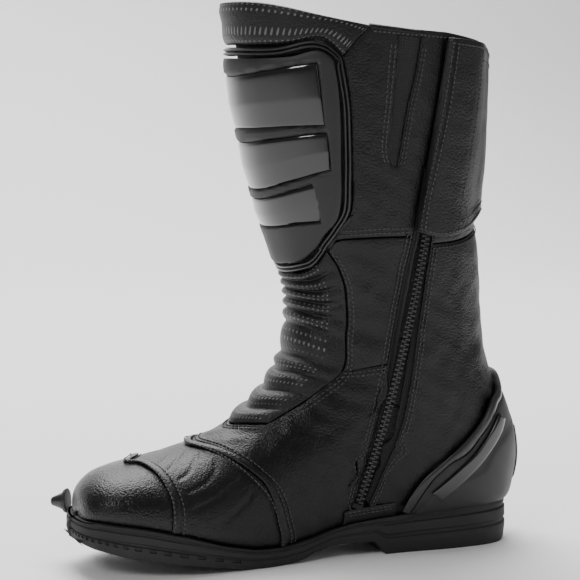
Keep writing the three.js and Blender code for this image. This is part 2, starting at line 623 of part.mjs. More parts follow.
const windowBottom = ON_TOP + PLATE + LAYER_GAP;
const windowSpans = {
  upper: { low: [[22.3, -0.33], [22.1, 0], [22.3, 0.33]], high: [[23.35, -0.325], [23.1, 0], [23.35, 0.325]] },
  middle: { low: [[21.4, -0.33], [20.75, 0], [21.4, 0.33]], high: [[22.15, -0.335], [21.8, 0], [22.15, 0.335]] },
  lower: { low: [[20.15, -0.27], [19.7, 0], [20.15, 0.27]], high: [[21.2, -0.33], [20.5, 0], [21.2, 0.33]] },
};
for (const [label, { low, high }] of Object.entries(windowSpans)) {
  add(`shin_window_${label}`, sheet(region(seam(low), seam(high)), windowBottom, windowBottom + WINDOW, 12, 3),
    GLOSS_BLACK, 0.08);
}
add("shin_pad", sheet(region(
  seam([[18.9, -0.2], [18.6, 0], [18.9, 0.2]]), seam([[23.1, -0.3], [23.1, 0], [23.1, 0.3]]),
), -LEATHER - LAYER_GAP - PAD, -LEATHER - LAYER_GAP, 10, 8), LINING_GREY, 0.9);

// ---- heel armour ----

// The front border of the heel cup on one side, from the feather line up to the back.
const CUP_BORDER = seam([...[[60.5, 30], [64.5, 39], [72, 49], [86, 59], [101, 72], [114, 86], [123, 99]].map(onSide),
  [17.1, 0.9], [17.3, 1]]);
const acrossBack = (edge) => joined(mirrored(edge), (t) => {
  const p = edge(1 - t);
  return new THREE.Vector2(p.x, p.y - 2);
}, 0.5);
const CUP_END = lastFeatherStation(RIM_RISE);
const cupFoot = (from) => acrossBack((t) => {
  const v = from + (CUP_END - from) * t;
  return new THREE.Vector2(v, t < 1 ? featherGirth(v, RIM_RISE) : 1);
});
const rimBorder = (inset) => (t) => {
  const p = CUP_BORDER(t);
  const next = CUP_BORDER(Math.min(t + STEP, 1));
  const last = CUP_BORDER(Math.max(t - STEP, 0));
  const at = facePoint(p.x, p.y);
  const along = facePoint(next.x, next.y).sub(facePoint(last.x, last.y)).normalize();
  const out = faceNormal(p.x, p.y).cross(along);
  const perStation = facePoint(p.x + STEP, p.y).sub(at).divideScalar(STEP);
  const perGirth = facePoint(p.x, p.y + STEP / 2).sub(facePoint(p.x, p.y - STEP / 2)).divideScalar(STEP);
  const sign = out.x * 1 + out.z * -1 < 0 ? -1 : 1;
  return new THREE.Vector2(
    p.x + (sign * inset * out.dot(perStation)) / perStation.lengthSq(),
    p.y + (sign * inset * out.dot(perGirth)) / perGirth.lengthSq(),
  );
};
add("heel_cup_rim", sheet(
  region(acrossBack(rimBorder(CUP_RIM.width)), acrossBack(rimBorder(0))),
  HEEL_GAP, HEEL_GAP + CUP_RIM.thickness, 32, 1,
), MATTE_BLACK, 0.3);
add("heel_cup", sheet(
  region(cupFoot(11.5), acrossBack(rimBorder(CUP_RIM.width + SEAM_GAP))),
  HEEL_GAP, HEEL_GAP + CUP, 28, 9,
), MATTE_BLACK, 0.5);

const INLAY_LOW = sideSeam([[86, 36], [99, 46], [116, 61], [128, 75], [132, 83]]);
const INLAY_HIGH = sideSeam([[79, 41], [93, 52], [108, 65], [120, 79], [126, 88]]);
const inlayLift = HEEL_GAP + CUP + LAYER_GAP;
for (const [label, side] of SIDES) {
  const area = region(INLAY_LOW, INLAY_HIGH);
  add(`heel_inlay_${label}`, sheet((s, t) => {
    const p = area(s, t);
    return new THREE.Vector2(p.x, side * p.y);
  }, inlayLift, inlayLift + INLAY, 6, 1), GLOSS_BLACK, 0.08);
}
add("heel_guard", sheet(
  region(seam([[13.9, 0.9], [13.7, 1], [13.9, 1.1]]), seam([[15.6, 0.91], [15.8, 1], [15.6, 1.09]])),
  inlayLift, (s, t) => inlayLift + 0.8 + GUARD * Math.sin(Math.PI * s) * Math.sin(Math.PI * t), 6, 6,
), GLOSS_BLACK, 0.1);
const counterGap = COUNTER_GAP * grade.x;
add("heel_counter", sheet(
  region(seam([[12.9, 0.8], [13.5, 1], [12.9, 1.2]]), seam([[15.4, 0.64], [16.9, 1], [15.4, 1.36]])),
  -LEATHER - counterGap - COUNTER, -LEATHER - counterGap, 14, 9,
), BOARD_BROWN, 0.9);
add("toe_puff", sheet(
  region(seam([[1.2, -0.62], [1.2, 0], [1.2, 0.62]]), seam([[4.2, -0.6], [3.7, 0], [4.2, 0.6]])),
  -LEATHER - LAYER_GAP - PAD, -LEATHER - LAYER_GAP, 16, 5,
), BOARD_BROWN, 0.9);

// ---- lining ----

const liningOuter = -LEATHER - LAYER_GAP - PAD - LAYER_GAP;
const LOW_SPLIT = seam([[16.6, -1], [15.6, -0.8], [14.2, -0.6], [12.8, -0.42], [11.4, -0.28], [10.1, -0.14],
  [9.3, 0], [10.1, 0.14], [11.4, 0.28], [12.8, 0.42], [14.2, 0.6], [15.6, 0.8], [16.6, 1]]);
const HIGH_SPLIT = seam([[18.7, -1], [18.2, -0.8], [17.4, -0.6], [16.4, -0.42], [15.2, -0.28], [14, -0.14],
  [13.3, 0], [14, 0.14], [15.2, 0.28], [16.4, 0.42], [17.4, 0.6], [18.2, 0.8], [18.7, 1]]);
const round = (v) => straight(new THREE.Vector2(v, -1), new THREE.Vector2(v, 1));
const lining = (low, high, along) => sheet(
  (s, t) => low(s).lerp(high(s), t), liningOuter - LINING, liningOuter, 20, along, true,
);
add("lining_foot", lining(round(0), moved(LOW_SPLIT, -HALF, 0), 16), LINING_GREY, 0.95);
add("lining_ankle", lining(moved(LOW_SPLIT, HALF, 0), moved(HIGH_SPLIT, -HALF, 0), 4), LINING_GREY, 0.95);
add("lining_shaft", lining(moved(HIGH_SPLIT, HALF, 0), round(23.6), 6), LINING_GREY, 0.95);
for (const [label, side] of SIDES) {
  add(`ankle_pad_${label}`, sheet((s, t) => new THREE.Vector2(
    14 + 1.3 * Math.sin(Math.PI * (t - 0.5)), side * (0.585 + 0.12 * (s - 0.5) * (0.4 + Math.sin(Math.PI * t))),
  ), -LEATHER - LAYER_GAP - PAD, -LEATHER - LAYER_GAP, 4, 4), LINING_GREY, 0.9);
}

// ---- zip ----

const zipFoot = ZIP_FOOT.clone().multiply(grade);
const zipHead = ZIP_HEAD.clone().multiply(grade);
const zipBow = ZIP_BOW * grade.x;
const chord = zipHead.clone().sub(zipFoot);
const UP = chord.clone().normalize();
const OUT = new THREE.Vector3(0, -1, 0).addScaledVector(UP, UP.y).normalize();
const ACROSS = UP.clone().cross(OUT);

// The track is an arc in the plane of UP and ACROSS. The slider swings about its centre.
const TRACK_RADIUS = chord.lengthSq() / (8 * zipBow) + zipBow / 2;
const TRACK_CENTRE = zipFoot.clone().lerp(zipHead, 0.5).addScaledVector(ACROSS, zipBow - TRACK_RADIUS);
const TRACK_LENGTH = 2 * TRACK_RADIUS * Math.asin(chord.length() / (2 * TRACK_RADIUS));

// The directions of the track a distance up its arc: away from its centre, and along it.
function trackFrame(up) {
  const angle = (up - TRACK_LENGTH / 2) / TRACK_RADIUS;
  const radial = ACROSS.clone().multiplyScalar(Math.cos(angle)).addScaledVector(UP, Math.sin(angle));
  const along = UP.clone().multiplyScalar(Math.cos(angle)).addScaledVector(ACROSS, -Math.sin(angle));
  return { radial, along };
}
// A point of the zip's own frame: across towards the heel, outwards, and up the track.
function zipPoint(across, out, up) {
  return TRACK_CENTRE.clone().addScaledVector(trackFrame(up).radial, TRACK_RADIUS + across)
    .addScaledVector(OUT, out);
}
// A block in the zip's frame, from its low to its high corner.
function zipBlock([a0, o0, u0], [a1, o1, u1], along = 1) {
  const face = (out) => (s, t) => zipPoint(a0 + (a1 - a0) * s, out, u0 + (u1 - u0) * t);
  return between(face(o0), face(o1), 1, along);
}
const chainHalf = ZIP.chainWidth / 2;
add("zip_chain", zipBlock([-chainHalf, -ZIP.chainDeep, 0], [chainHalf, ZIP.chainProud, TRACK_LENGTH], 14),
  MATTE_BLACK, 0.4, 0.2);

const TUCK = 3;
const tapeTop = -LEATHER - LAYER_GAP;
const tapeGap = 1;
for (const [label, border, towards] of [["front", ZIP_FRONT, -1], ["rear", ZIP_REAR, 1]]) {
  const upper = label === "front" ? ZIP_FRONT_UPPER : ZIP_REAR_UPPER;
  const whole = joined(stretch(border, 0.1, 1), upper, 0.8);
  const outerEdge = moved(whole, 0, towards * TUCK);
  const innerEdge = moved(whole, 0, -towards * TUCK);
  const across = (s, t) => innerEdge(t).lerp(outerEdge(t), s);
  add(`zip_tape_${label}`, sheet((s, t) => mirrored(() => across(s, t))(0),
    tapeTop - ZIP.tapeThickness, tapeTop, 1, 14), STRETCH_BLACK, 0.9);
}
add("zip_bottom_stop", zipBlock([-chainHalf - 1, -ZIP.chainDeep, -3.3], [chainHalf + 1, ZIP.chainProud, -0.3]),
  MATTE_BLACK, 0.4, 0.2);
add("zip_top_stop", zipBlock([-chainHalf, -ZIP.chainDeep, TRACK_LENGTH + 0.3],
  [chainHalf, ZIP.chainProud, TRACK_LENGTH + 2.8]), MATTE_BLACK, 0.4, 0.2);

// The slider straddles the chain: a roof with a skirt down each side, and two ears for the pull.
const sliderTop = TRACK_LENGTH - SLIDER.down;
const roofLow = ZIP.chainProud + SLIDER.clearance;
const roofHigh = roofLow + SLIDER.roof;
const skirtIn = chainHalf + SLIDER.clearance;
const skirtOut = skirtIn + SLIDER.skirt;
const sliderOutline = new THREE.Shape([
  [-skirtOut, -0.4], [-skirtIn, -0.4], [-skirtIn, roofLow], [skirtIn, roofLow], [skirtIn, -0.4],
  [skirtOut, -0.4], [skirtOut, roofHigh], [-skirtOut, roofHigh],
].map(([x, y]) => new THREE.Vector2(x, y)));
// The frame of a piece on the track: x towards the toe, y down the track, z outwards.
function onTrack(up, out) {
  const { radial, along } = trackFrame(up);
  return new THREE.Matrix4().makeBasis(radial.negate(), along.negate(), OUT).setPosition(zipPoint(0, out, up));
}
const sliderGeometry = new THREE.ExtrudeGeometry(sliderOutline, { depth: SLIDER.length, bevelEnabled: false });
sliderGeometry.rotateX(Math.PI / 2).translate(0, SLIDER.length / 2, 0);
add("zip_slider", sliderGeometry.applyMatrix4(onTrack(sliderTop - SLIDER.length / 2, 0)), MATTE_BLACK, 0.35, 0.6);

// The pull hangs down from the slider's foot end, over the chain.
const pullLow = roofHigh + PULL.clearance;
const pullTop = sliderTop - 4;
const pullShape = new THREE.Shape();
pullShape.moveTo(-PULL.width / 2, 0).lineTo(PULL.width / 2, 0).lineTo(PULL.width / 2, PULL.length - 3)
  .quadraticCurveTo(PULL.width / 2, PULL.length, 0, PULL.length)
  .quadraticCurveTo(-PULL.width / 2, PULL.length, -PULL.width / 2, PULL.length - 3).closePath();
add("zip_pull", new THREE.ExtrudeGeometry(pullShape, {
  depth: PULL.thickness, bevelEnabled: false, curveSegments: 4,
}).applyMatrix4(onTrack(pullTop, pullLow)), MATTE_BLACK, 0.4, 0.3);

// ---- flap ----

const FLAP_FOOT = seam([[20.33, 0.535], [20.3, 0.6], [20.55, 0.72], [20.9, 0.85], [20.95, 0.965]]);
const FLAP_TOP = seam([[23.9, 0.645], [23.9, 0.75], [23.85, 0.85], [23.7, 0.965]]);
const hingeLift = FLAP.atHinge + FLAP.thickness / 2;
const HINGE_FOOT = lifted(FLAP_FOOT(0).x, -FLAP_FOOT(0).y, hingeLift);
const HINGE_HEAD = lifted(FLAP_TOP(0).x, -FLAP_TOP(0).y, hingeLift);
const flapArea = region(FLAP_FOOT, FLAP_TOP);
const FLAP_RISE = profile([
  [0, FLAP.atHinge], [0.07, FLAP.overZip], [0.36, FLAP.overZip], [0.6, FLAP.atPatch], [1, FLAP.atPatch],
]);
function flapFace(lift) {
  return (s, t) => {
    const { x: v, y: g } = flapArea(s, t);
    const onFace = lifted(v, -g, FLAP_RISE(s) + lift);
    const straightAt = lifted(flapArea(0, t).x, -flapArea(0, t).y, FLAP.atHinge + lift);
    const onHinge = HINGE_FOOT.clone().lerp(HINGE_HEAD, t)
      .addScaledVector(faceNormal(v, -g), lift - FLAP.thickness / 2);
    return onFace.addScaledVector(onHinge.sub(straightAt), Math.max(0, 1 - 14 * s));
  };
}
add("flap", between(flapFace(0), flapFace(FLAP.thickness), 15, 8), BLACK_LEATHER, 0.45);

const PATCH = { from: 0.62, to: 0.94, low: 0.12, high: 0.88 };
const patchSheet = (low, high) => sheet((s, t) => {
  const p = flapArea(PATCH.from + (PATCH.to - PATCH.from) * s, PATCH.low + (PATCH.high - PATCH.low) * t);
  return new THREE.Vector2(p.x, -p.y);
}, low, high, 6, 8);
add("loop_patch", patchSheet(ON_TOP, ON_TOP + TOUCH_TAPE), STRETCH_BLACK, 1);
add("hook_patch", patchSheet(FLAP.atPatch - ON_TOP - TOUCH_TAPE, FLAP.atPatch - ON_TOP), STRETCH_BLACK, 0.9);

// ---- sole ----

// Stations of the sole's outline, denser at the toe and the heel, with the breast of the heel exact.
function footStations() {
  const even = Array.from({ length: 27 }, (_, k) => 0.5 + (HEEL_END - 0.5) * (0.5 - 0.5 * Math.cos((Math.PI * k) / 26)));
  const atX = (x) => {
    let low = 9;
    let high = 12.5;
    for (let i = 0; i < 30; i++) {
      const middle = (low + high) / 2;
      if (facePoint(middle, featherGirth(middle)).x < x * grade.x) low = middle;
      else high = middle;
    }
    return low;
  };
  return [...even, atX(HEEL.front - 0.3), atX(HEEL.front + 0.3)].sort((a, b) => a - b);
}
const stations = footStations();
const outline = [-1, 1].map((side) => stations.map((v) => facePoint(v, side * featherGirth(v))));
const bottomRow = profile(SECTIONS.slice(1, 14).map((row) => [row[2], row[3]]));
const bottomHeight = (x) => bottomRow(x / grade.x) * grade.z;
const treadHeight = (x) => {
  const at = x / grade.x;
  if (at <= HEEL.front) return treadRow(at) * grade.z;
  if (at <= HEEL.back) return 0;
  return ((at - HEEL.back) / 20) ** 2 * 8 * grade.z;
};

// The closed outline in plan: up the inner side from the toe, round the heel, back along the outer.
const loop = [...outline[0], ...[...outline[1]].reverse()];
const plan = loop.map((p) => new THREE.Vector2(p.x, p.y));
function grown(distance) {
  return plan.map((p, k) => {
    const before = plan[(k + plan.length - 1) % plan.length];
    const after = plan[(k + 1) % plan.length];
    const along = after.clone().sub(before).normalize();
    return new THREE.Vector2(p.x - along.y * -distance, p.y - along.x * distance);
  });
}
// One ring of the sole: the outline grown, at a height that depends on x.
function ringAt(distance, height) {
  const snap = HEEL.front * grade.x;
  return grown(distance).map((p, k) => {
    const nominal = plan[k].x;
    const nearBreast = Math.abs(nominal - snap) < 1;
    const x = nearBreast ? nominal : p.x;
    return new THREE.Vector3(x, p.y, height(x, nominal));
  });
}
const rimTop = (x, nominal) => featherHeight(nominal);
const floor = (x) => bottomHeight(x) - FLOOR_DROP;
const rings = [
  ringAt(RIM_CLEARANCE, floor),
  ringAt(RIM_CLEARANCE, rimTop),
  ringAt(RIM_WALL, rimTop),
  ringAt(RIM_WALL + RIM_SWELL, (x, nominal) => 0.45 * rimTop(x, nominal) + 0.55 * treadHeight(x)),
  ringAt(RIM_WALL, treadHeight),
];
function outsole() {
  const count = loop.length;
  const points = rings.flat();
  const triangles = [];
  for (let r = 0; r < rings.length - 1; r++) {
    for (let k = 0; k < count; k++) {
      const next = (k + 1) % count;
      const [a, b, c, d] = [r * count + k, r * count + next, (r + 1) * count + next, (r + 1) * count + k];
      triangles.push(a, b, c, a, c, d);
    }
  }
  // Caps: the floor inside the rim and the tread, in rows from one side to the other.
  for (const [ring, turned] of [[0, true], [rings.length - 1, false]]) {
    for (let k = 0; k < count / 2 - 1; k++) {
      const [a, b, c, d] = [k, k + 1, count - 2 - k, count - 1 - k].map((i) => ring * count + i);
      if (turned) triangles.push(a, c, b, a, d, c);
      else triangles.push(a, b, c, a, c, d);
    }
  }
  return closed(points, triangles);
}
add("outsole", outsole(), RUBBER_BLACK, 0.85);

// Flat pieces under the foot, between two heights measured from the upper's lowest line.
const halfWidthAt = (x, share) => {
  const k = stations.findIndex((v, i) => outline[0][i].x >= x);
  return share * Math.min(Math.abs(outline[0][k].y), Math.abs(outline[1][k].y));
};
function underfoot(from, to, halfWidth, top, thickness, along) {
  const face = (drop) => (s, t) => {
    const x = (from + (to - from) * t) * grade.x;
    return new THREE.Vector3(x, halfWidth(x) * (2 * s - 1), bottomHeight(x) - drop);
  };
  return between(face(top + thickness), face(top), 2, along);
}
add("shank", underfoot(SHANK.from, SHANK.to, () => SHANK.width / 2, LAYER_GAP, SHANK.thickness, 14), STEEL, 0.4, 0.9);
add("forefoot_filler", underfoot(
  FILLER.from, FILLER.to, (x) => halfWidthAt(x, FILLER.share), LAYER_GAP, FILLER.thickness, 8,
), BOARD_BROWN, 0.9);
const boardSide = (side) => (t) => {
  const v = BOARD.from + (BOARD.to - BOARD.from) * t;
  return new THREE.Vector2(v, side < 0 ? featherGirth(v) : 2 - featherGirth(v));
};
const boardArea = region(straight(boardSide(-1)(0), boardSide(1)(0)), straight(boardSide(-1)(1), boardSide(1)(1)),
  moved(boardSide(-1), 0, BOARD.inset), moved(boardSide(1), 0, -BOARD.inset));
add("insole_board", sheet(boardArea, -BOARD.thickness, 0, 8, 16), BOARD_BROWN, 0.95);
add("footbed", underfoot(
  FOOTBED.from, FOOTBED.to, (x) => halfWidthAt(x, FOOTBED.share),
  -FOOTBED.rise - FOOTBED.thickness, FOOTBED.thickness, 16,
), LINING_GREY, 0.95);

// ---- toe slider, on the outer side of the toe ----

const KNOB_AT = { v: 2.1, g: 0.54 };
const knobOut = faceNormal(KNOB_AT.v, KNOB_AT.g);
const knobSeat = facePoint(KNOB_AT.v, KNOB_AT.g);
const knobTurn = new THREE.Matrix4().makeRotationFromQuaternion(
  new THREE.Quaternion().setFromUnitVectors(new THREE.Vector3(0, 1, 0), knobOut),
).setPosition(knobSeat);
const turned = (rows) => new THREE.LatheGeometry(rows.map(([r, h]) => new THREE.Vector2(r, h)), 16)
  .deleteAttribute("normal").deleteAttribute("uv").applyMatrix4(knobTurn);
const knobBase = RIM_WALL + RIM_SWELL - 0.3;
const knobFoot = knobBase + TOE_KNOB.baseThickness + 0.3;
add("toe_slider_base", mergeVertices(turned([
  [0, knobBase], [TOE_KNOB.baseRadius, knobBase], [TOE_KNOB.baseRadius - 0.8, knobBase + TOE_KNOB.baseThickness],
  [0, knobBase + TOE_KNOB.baseThickness],
]), MERGE), MATTE_BLACK, 0.5);
add("toe_slider_knob", mergeVertices(turned([
  [0, knobFoot], [TOE_KNOB.radius, knobFoot], [TOE_KNOB.radius - 0.6, knobFoot + 2],
  [TOE_KNOB.tipRadius + 0.6, knobFoot + TOE_KNOB.length - 1], [TOE_KNOB.tipRadius, knobFoot + TOE_KNOB.length],
  [0, knobFoot + TOE_KNOB.length],
]), MERGE), MATTE_BLACK, 0.4);

// The part stands on Z = 0 with the middle of its plan at the origin.
const extent = new THREE.Box3().setFromObject(boot, true);
const middle = extent.getCenter(new THREE.Vector3());
boot.children.forEach((mesh) => mesh.geometry.translate(-middle.x, -middle.y, -extent.min.z));

export default boot;
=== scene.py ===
"""Riding boot for the right foot: grained leather upper with a ribbed ankle, an inner-side zip under a flap,
moulded shin, heel and toe armour, and a lugged rubber sole. The looks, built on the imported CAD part."""
import math

import bmesh
import bpy
import numpy as np
from mathutils import Matrix, Vector


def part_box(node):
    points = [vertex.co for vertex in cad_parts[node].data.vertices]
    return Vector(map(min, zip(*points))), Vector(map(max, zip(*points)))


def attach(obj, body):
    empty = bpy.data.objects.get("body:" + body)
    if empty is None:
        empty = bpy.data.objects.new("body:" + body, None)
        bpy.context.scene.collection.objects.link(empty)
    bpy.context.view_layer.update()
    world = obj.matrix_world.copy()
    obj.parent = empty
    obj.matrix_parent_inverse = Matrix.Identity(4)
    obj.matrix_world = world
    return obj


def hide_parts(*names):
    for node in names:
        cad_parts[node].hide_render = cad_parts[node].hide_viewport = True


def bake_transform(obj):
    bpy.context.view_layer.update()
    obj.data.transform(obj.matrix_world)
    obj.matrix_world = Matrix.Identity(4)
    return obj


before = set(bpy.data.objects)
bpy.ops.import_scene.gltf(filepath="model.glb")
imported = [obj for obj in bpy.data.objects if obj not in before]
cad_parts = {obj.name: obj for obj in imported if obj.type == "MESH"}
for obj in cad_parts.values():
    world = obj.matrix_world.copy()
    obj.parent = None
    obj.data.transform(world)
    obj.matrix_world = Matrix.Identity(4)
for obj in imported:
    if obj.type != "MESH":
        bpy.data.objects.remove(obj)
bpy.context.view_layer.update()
MM = 0.001

# ---- the boot's outer face, the same surface that the CAD part is built on ----

# Toe tip to collar: x and z of the front or top point, x and z of the back or bottom point, half width on the
# inner and the outer side, y of the middle, how far down the widest point lies, squareness front and back.
SECTIONS = np.array([
    (-147, 40, -147, 38, 0, 0, -8, 0.55, 2.0, 2.0),
    (-145.5, 49, -146, 34, 15, 15, -8, 0.6, 2.0, 2.4),
    (-141, 55.5, -142, 31.5, 25, 26, -7, 0.62, 2.0, 2.8),
    (-132, 61, -134, 31, 33.5, 35, -5, 0.64, 2.05, 3.2),
    (-118, 64.5, -121, 29, 40, 42.5, -3, 0.67, 2.1, 3.6),
    (-101, 67.5, -103, 25, 45, 48, -1.5, 0.7, 2.1, 3.8),
    (-82, 71, -82, 19, 48.5, 52, 0, 0.72, 2.1, 4.0),
    (-62, 77.5, -58, 12.5, 48.5, 52.5, 0, 0.72, 2.1, 4.0),
    (-43, 86, -34, 8.5, 46, 50, 0, 0.7, 2.1, 4.2),
    (-27, 97.5, -8, 10, 42.5, 46.5, 0, 0.66, 2.15, 4.4),
    (-14, 112, 22, 17, 40, 43.5, 0, 0.62, 2.2, 4.4),
    (-6, 127, 62, 20.5, 40, 42, 0, 0.58, 2.3, 4.2),
    (-3, 139, 108, 22, 42, 43, 0, 0.55, 2.3, 3.8),
    (-2, 148, 138, 25.5, 43.3, 44, 0, 0.53, 2.3, 3.0),
    (-1.5, 155, 148, 42, 44.3, 44.5, 0, 0.52, 2.3, 2.4),
    (-1.5, 161, 150, 60, 44.8, 45, 0, 0.51, 2.25, 2.3),
    (-2, 168, 146.5, 82, 44.8, 45, 0, 0.5, 2.2, 2.25),
    (-3, 176, 138, 105, 45, 45.5, 0, 0.5, 2.2, 2.2),
    (-6, 187, 130.5, 130, 45.5, 46, 0, 0.5, 2.2, 2.2),
    (-10.5, 201, 127.5, 158, 46.5, 47, 0, 0.5, 2.2, 2.2),
    (-17, 219, 125.5, 188, 49, 49.5, 0, 0.5, 2.2, 2.2),
    (-24, 243, 122, 220, 51.5, 52.5, 0, 0.5, 2.2, 2.2),
    (-31, 272, 124.5, 255, 54, 55, 0, 0.5, 2.2, 2.2),
    (-37, 303, 125.5, 290, 56.5, 57.5, 0, 0.5, 2.2, 2.2),
    (-44, 350, 126, 330, 58.5, 59, 0, 0.5, 2.2, 2.2),
])
LAST = len(SECTIONS) - 1
PLAN_MIDDLE = np.array([0.58, -0.17, 0.0])
FEATHER = np.array([
    (-150, 35), (-138, 35), (-112, 31), (-87, 25), (-62, 17), (-40, 12), (-20, 11.5),
    (0, 15), (25, 22), (50, 24), (84, 26), (121, 28), (152, 29),
])
TREAD = np.array([
    (-155, 26), (-139, 19), (-124, 14.5), (-99, 9.5), (-71, 5), (-45, 0.5), (-36, 0),
    (-20, 0), (-10, 1.5), (2, 6), (15, 9.5), (36, 9), (50, 9),
])
HEEL_FRONT, HEEL_BACK = 50, 132


def section_at(v):
    """The section at each station, by smooth interpolation. Past the last row it runs on straight."""
    v = np.asarray(v, float)
    i = np.clip(np.floor(v).astype(int), 0, LAST - 1)
    f = (v - i)[..., None]
    a, b = SECTIONS[i], SECTIONS[i + 1]
    before, after = SECTIONS[np.maximum(i - 1, 0)], SECTIONS[np.minimum(i + 2, LAST)]
    start = np.where((i == 0)[..., None], b - a, (b - before) / 2)
    end = np.where((i == LAST - 1)[..., None], b - a, (after - a) / 2)
    smooth = ((2 * f**3 - 3 * f**2 + 1) * a + (f**3 - 2 * f**2 + f) * start
              + (3 * f**2 - 2 * f**3) * b + (f**3 - f**2) * end)
    return np.where(f > 1, b + (f - 1) * (b - a), smooth)


def face_point(v, g):
    """Points of the outer face. Girth 0 is the front or top and 1 the back or bottom, negative inside."""
    v, g = np.broadcast_arrays(np.asarray(v, float), np.asarray(g, float))
    s = section_at(v)
    girth = np.where(g > 1, g - 2, np.where(g < -1, g + 2, g))
    angle = np.abs(girth) * math.pi
    front = angle <= math.pi / 2
    power = 2 / np.where(front, s[..., 8], s[..., 9])
    run = np.abs(np.cos(angle)) ** power
    widest = s[..., 7]
    down = np.where(front, widest * (1 - run), widest + (1 - widest) * run)
    across = np.abs(np.sin(angle)) ** power * np.where(girth < 0, -s[..., 4], s[..., 5])
    x = s[..., 0] + (s[..., 2] - s[..., 0]) * down
    z = s[..., 1] + (s[..., 3] - s[..., 1]) * down
    return np.stack([x, s[..., 6] + across, z], -1) - PLAN_MIDDLE


def face_normal(v, g):
    v, g = np.broadcast_arrays(np.asarray(v, float), np.asarray(g, float))
    v = np.maximum(v, 0.02)
    step = 0.004
    along = face_point(v + step, g) - face_point(v - step, g)
    around = face_point(v, g + step) - face_point(v, g - step)
    normal = np.cross(along, around)
    normal /= np.maximum(np.linalg.norm(normal, axis=-1, keepdims=True), 1e-9)
    s = section_at(v)
    core = np.stack([s[..., 0] + (s[..., 2] - s[..., 0]) * s[..., 7], s[..., 6],
                     s[..., 1] + (s[..., 3] - s[..., 1]) * s[..., 7]], -1) - PLAN_MIDDLE
    inward = np.sum(normal * (face_point(v, g) - core), -1, keepdims=True) < 0
    return np.where(inward, -normal, normal)


def lifted(vg, lift):
    vg = np.asarray(vg, float)
    lift = np.broadcast_to(np.asarray(lift, float), vg.shape[:-1])
    return face_point(vg[..., 0], vg[..., 1]) + face_normal(vg[..., 0], vg[..., 1]) * lift[..., None]


def row(rows, at):
    return np.interp(at, rows[:, 0], rows[:, 1])


CLOSED = 0.97


def feather_girth(v, rise=0.0):
    """Girth of the feather line, where the upper meets the rubber, or of a line a rise above it."""
    v = np.asarray(v, float)

    def above(g):
        p = face_point(v, g) + PLAN_MIDDLE
        return p[..., 2] - row(FEATHER, p[..., 0]) - rise

    low, high = np.full(v.shape, 0.5), np.full(v.shape, CLOSED)
    for _ in range(30):
        middle = (low + high) / 2
        up = above(middle) > 0
        low, high = np.where(up, middle, low), np.where(up, high, middle)
    return np.where(above(np.full(v.shape, CLOSED)) >= 0, CLOSED, low)


def last_feather_station(rise=0.0):
    low, high = 12.0, 14.0
    for _ in range(30):
        middle = (low + high) / 2
        if feather_girth(middle, rise) < CLOSED:
            low = middle
        else:
            high = middle
    return low


# ---- seams, as curves of (station, girth) ----

def seam(points):
    points = np.array(points, float)
    count = len(points)

    def curve(t):
        at = np.asarray(t, float) * (count - 1)
        i = np.clip(np.floor(at).astype(int), 0, count - 2)
        f = (at - i)[..., None]
        a, b = points[i], points[i + 1]
        start = (b - points[np.maximum(i - 1, 0)]) / 2
        end = (points[np.minimum(i + 2, count - 1)] - a) / 2
        return (2 * a - 2 * b + start + end) * f**3 + (3 * b - 3 * a - 2 * start - end) * f**2 + start * f + a
    return curve


def on_side(point):
    """Station and girth of a side-view point on the outer face."""
    px, pz = point
    low, high = 1.0, float(LAST)
    for _ in range(40):
        middle = (low + high) / 2
        fx, fz, bx, bz = section_at(middle)[:4]
        if (bx - fx) * (pz - fz) - (bz - fz) * (px - fx) > 0:
            low = middle
        else:
            high = middle
    s = section_at(low)
    fx, fz, bx, bz = s[:4]
    down = ((px - fx) * (bx - fx) + (pz - fz) * (bz - fz)) / ((bx - fx) ** 2 + (bz - fz) ** 2)
    if down <= s[7]:
        return (low, math.acos((1 - down / s[7]) ** (s[8] / 2)) / math.pi)
    return (low, 1 - math.acos(((down - s[7]) / (1 - s[7])) ** (s[9] / 2)) / math.pi)


def dense_side(points, between=5):
    """Many stations and girths along a smooth side-view line, keeping an even share for each stretch."""
    line = seam(points)(np.linspace(0, 1, (len(points) - 1) * between + 1))
    return [on_side(p) for p in line]


def side_seam(points):
    return seam(dense_side(points))


def from_feather(points, between=5):
    rows = dense_side(points, between)
    v, g = rows[0]
    low = float(feather_girth(v))
    return seam([(v, low + (g - low) * k / between) for k in range(between)] + rows)


def mirrored(edge):
    return lambda t: edge(t) * (1, -1)


def turned_back(edge):
    return lambda t: edge(1 - np.asarray(t, float))


def joined(first, second, share):
    def edge(t):
        t = np.asarray(t, float)
        early = (t < share)[..., None]
        return np.where(early, first(np.minimum(t / share, 1)),
                        second(np.maximum((t - share) / (1 - share), 0)))
    return edge


def straight(a, b):
    a, b = np.array(a, float), np.array(b, float)
    return lambda t: a + (b - a) * np.asarray(t, float)[..., None]


def stretch(edge, start, end):
    return lambda t: edge(start + (end - start) * np.asarray(t, float))


def feather(start, end, side, rise=0.0):
    def edge(t):
        v = start + (end - start) * np.asarray(t, float)
        return np.stack([v, side * feather_girth(v, rise)], -1)
    return edge


def moved(edge, along_stations, along_girth):
    """An edge moved by millimetres along the stations and along the girth."""
    step = 0.02

    def shifted(t):
        vg = edge(t)
        v, g = vg[..., 0], vg[..., 1]
        per_station = np.linalg.norm(face_point(v + step, g) - face_point(v, g), axis=-1) / step
        per_girth = np.linalg.norm(face_point(v, g + step) - face_point(v, g - step), axis=-1) / (2 * step)
        return np.stack([v + along_stations / per_station, g + along_girth / per_girth], -1)
    return shifted


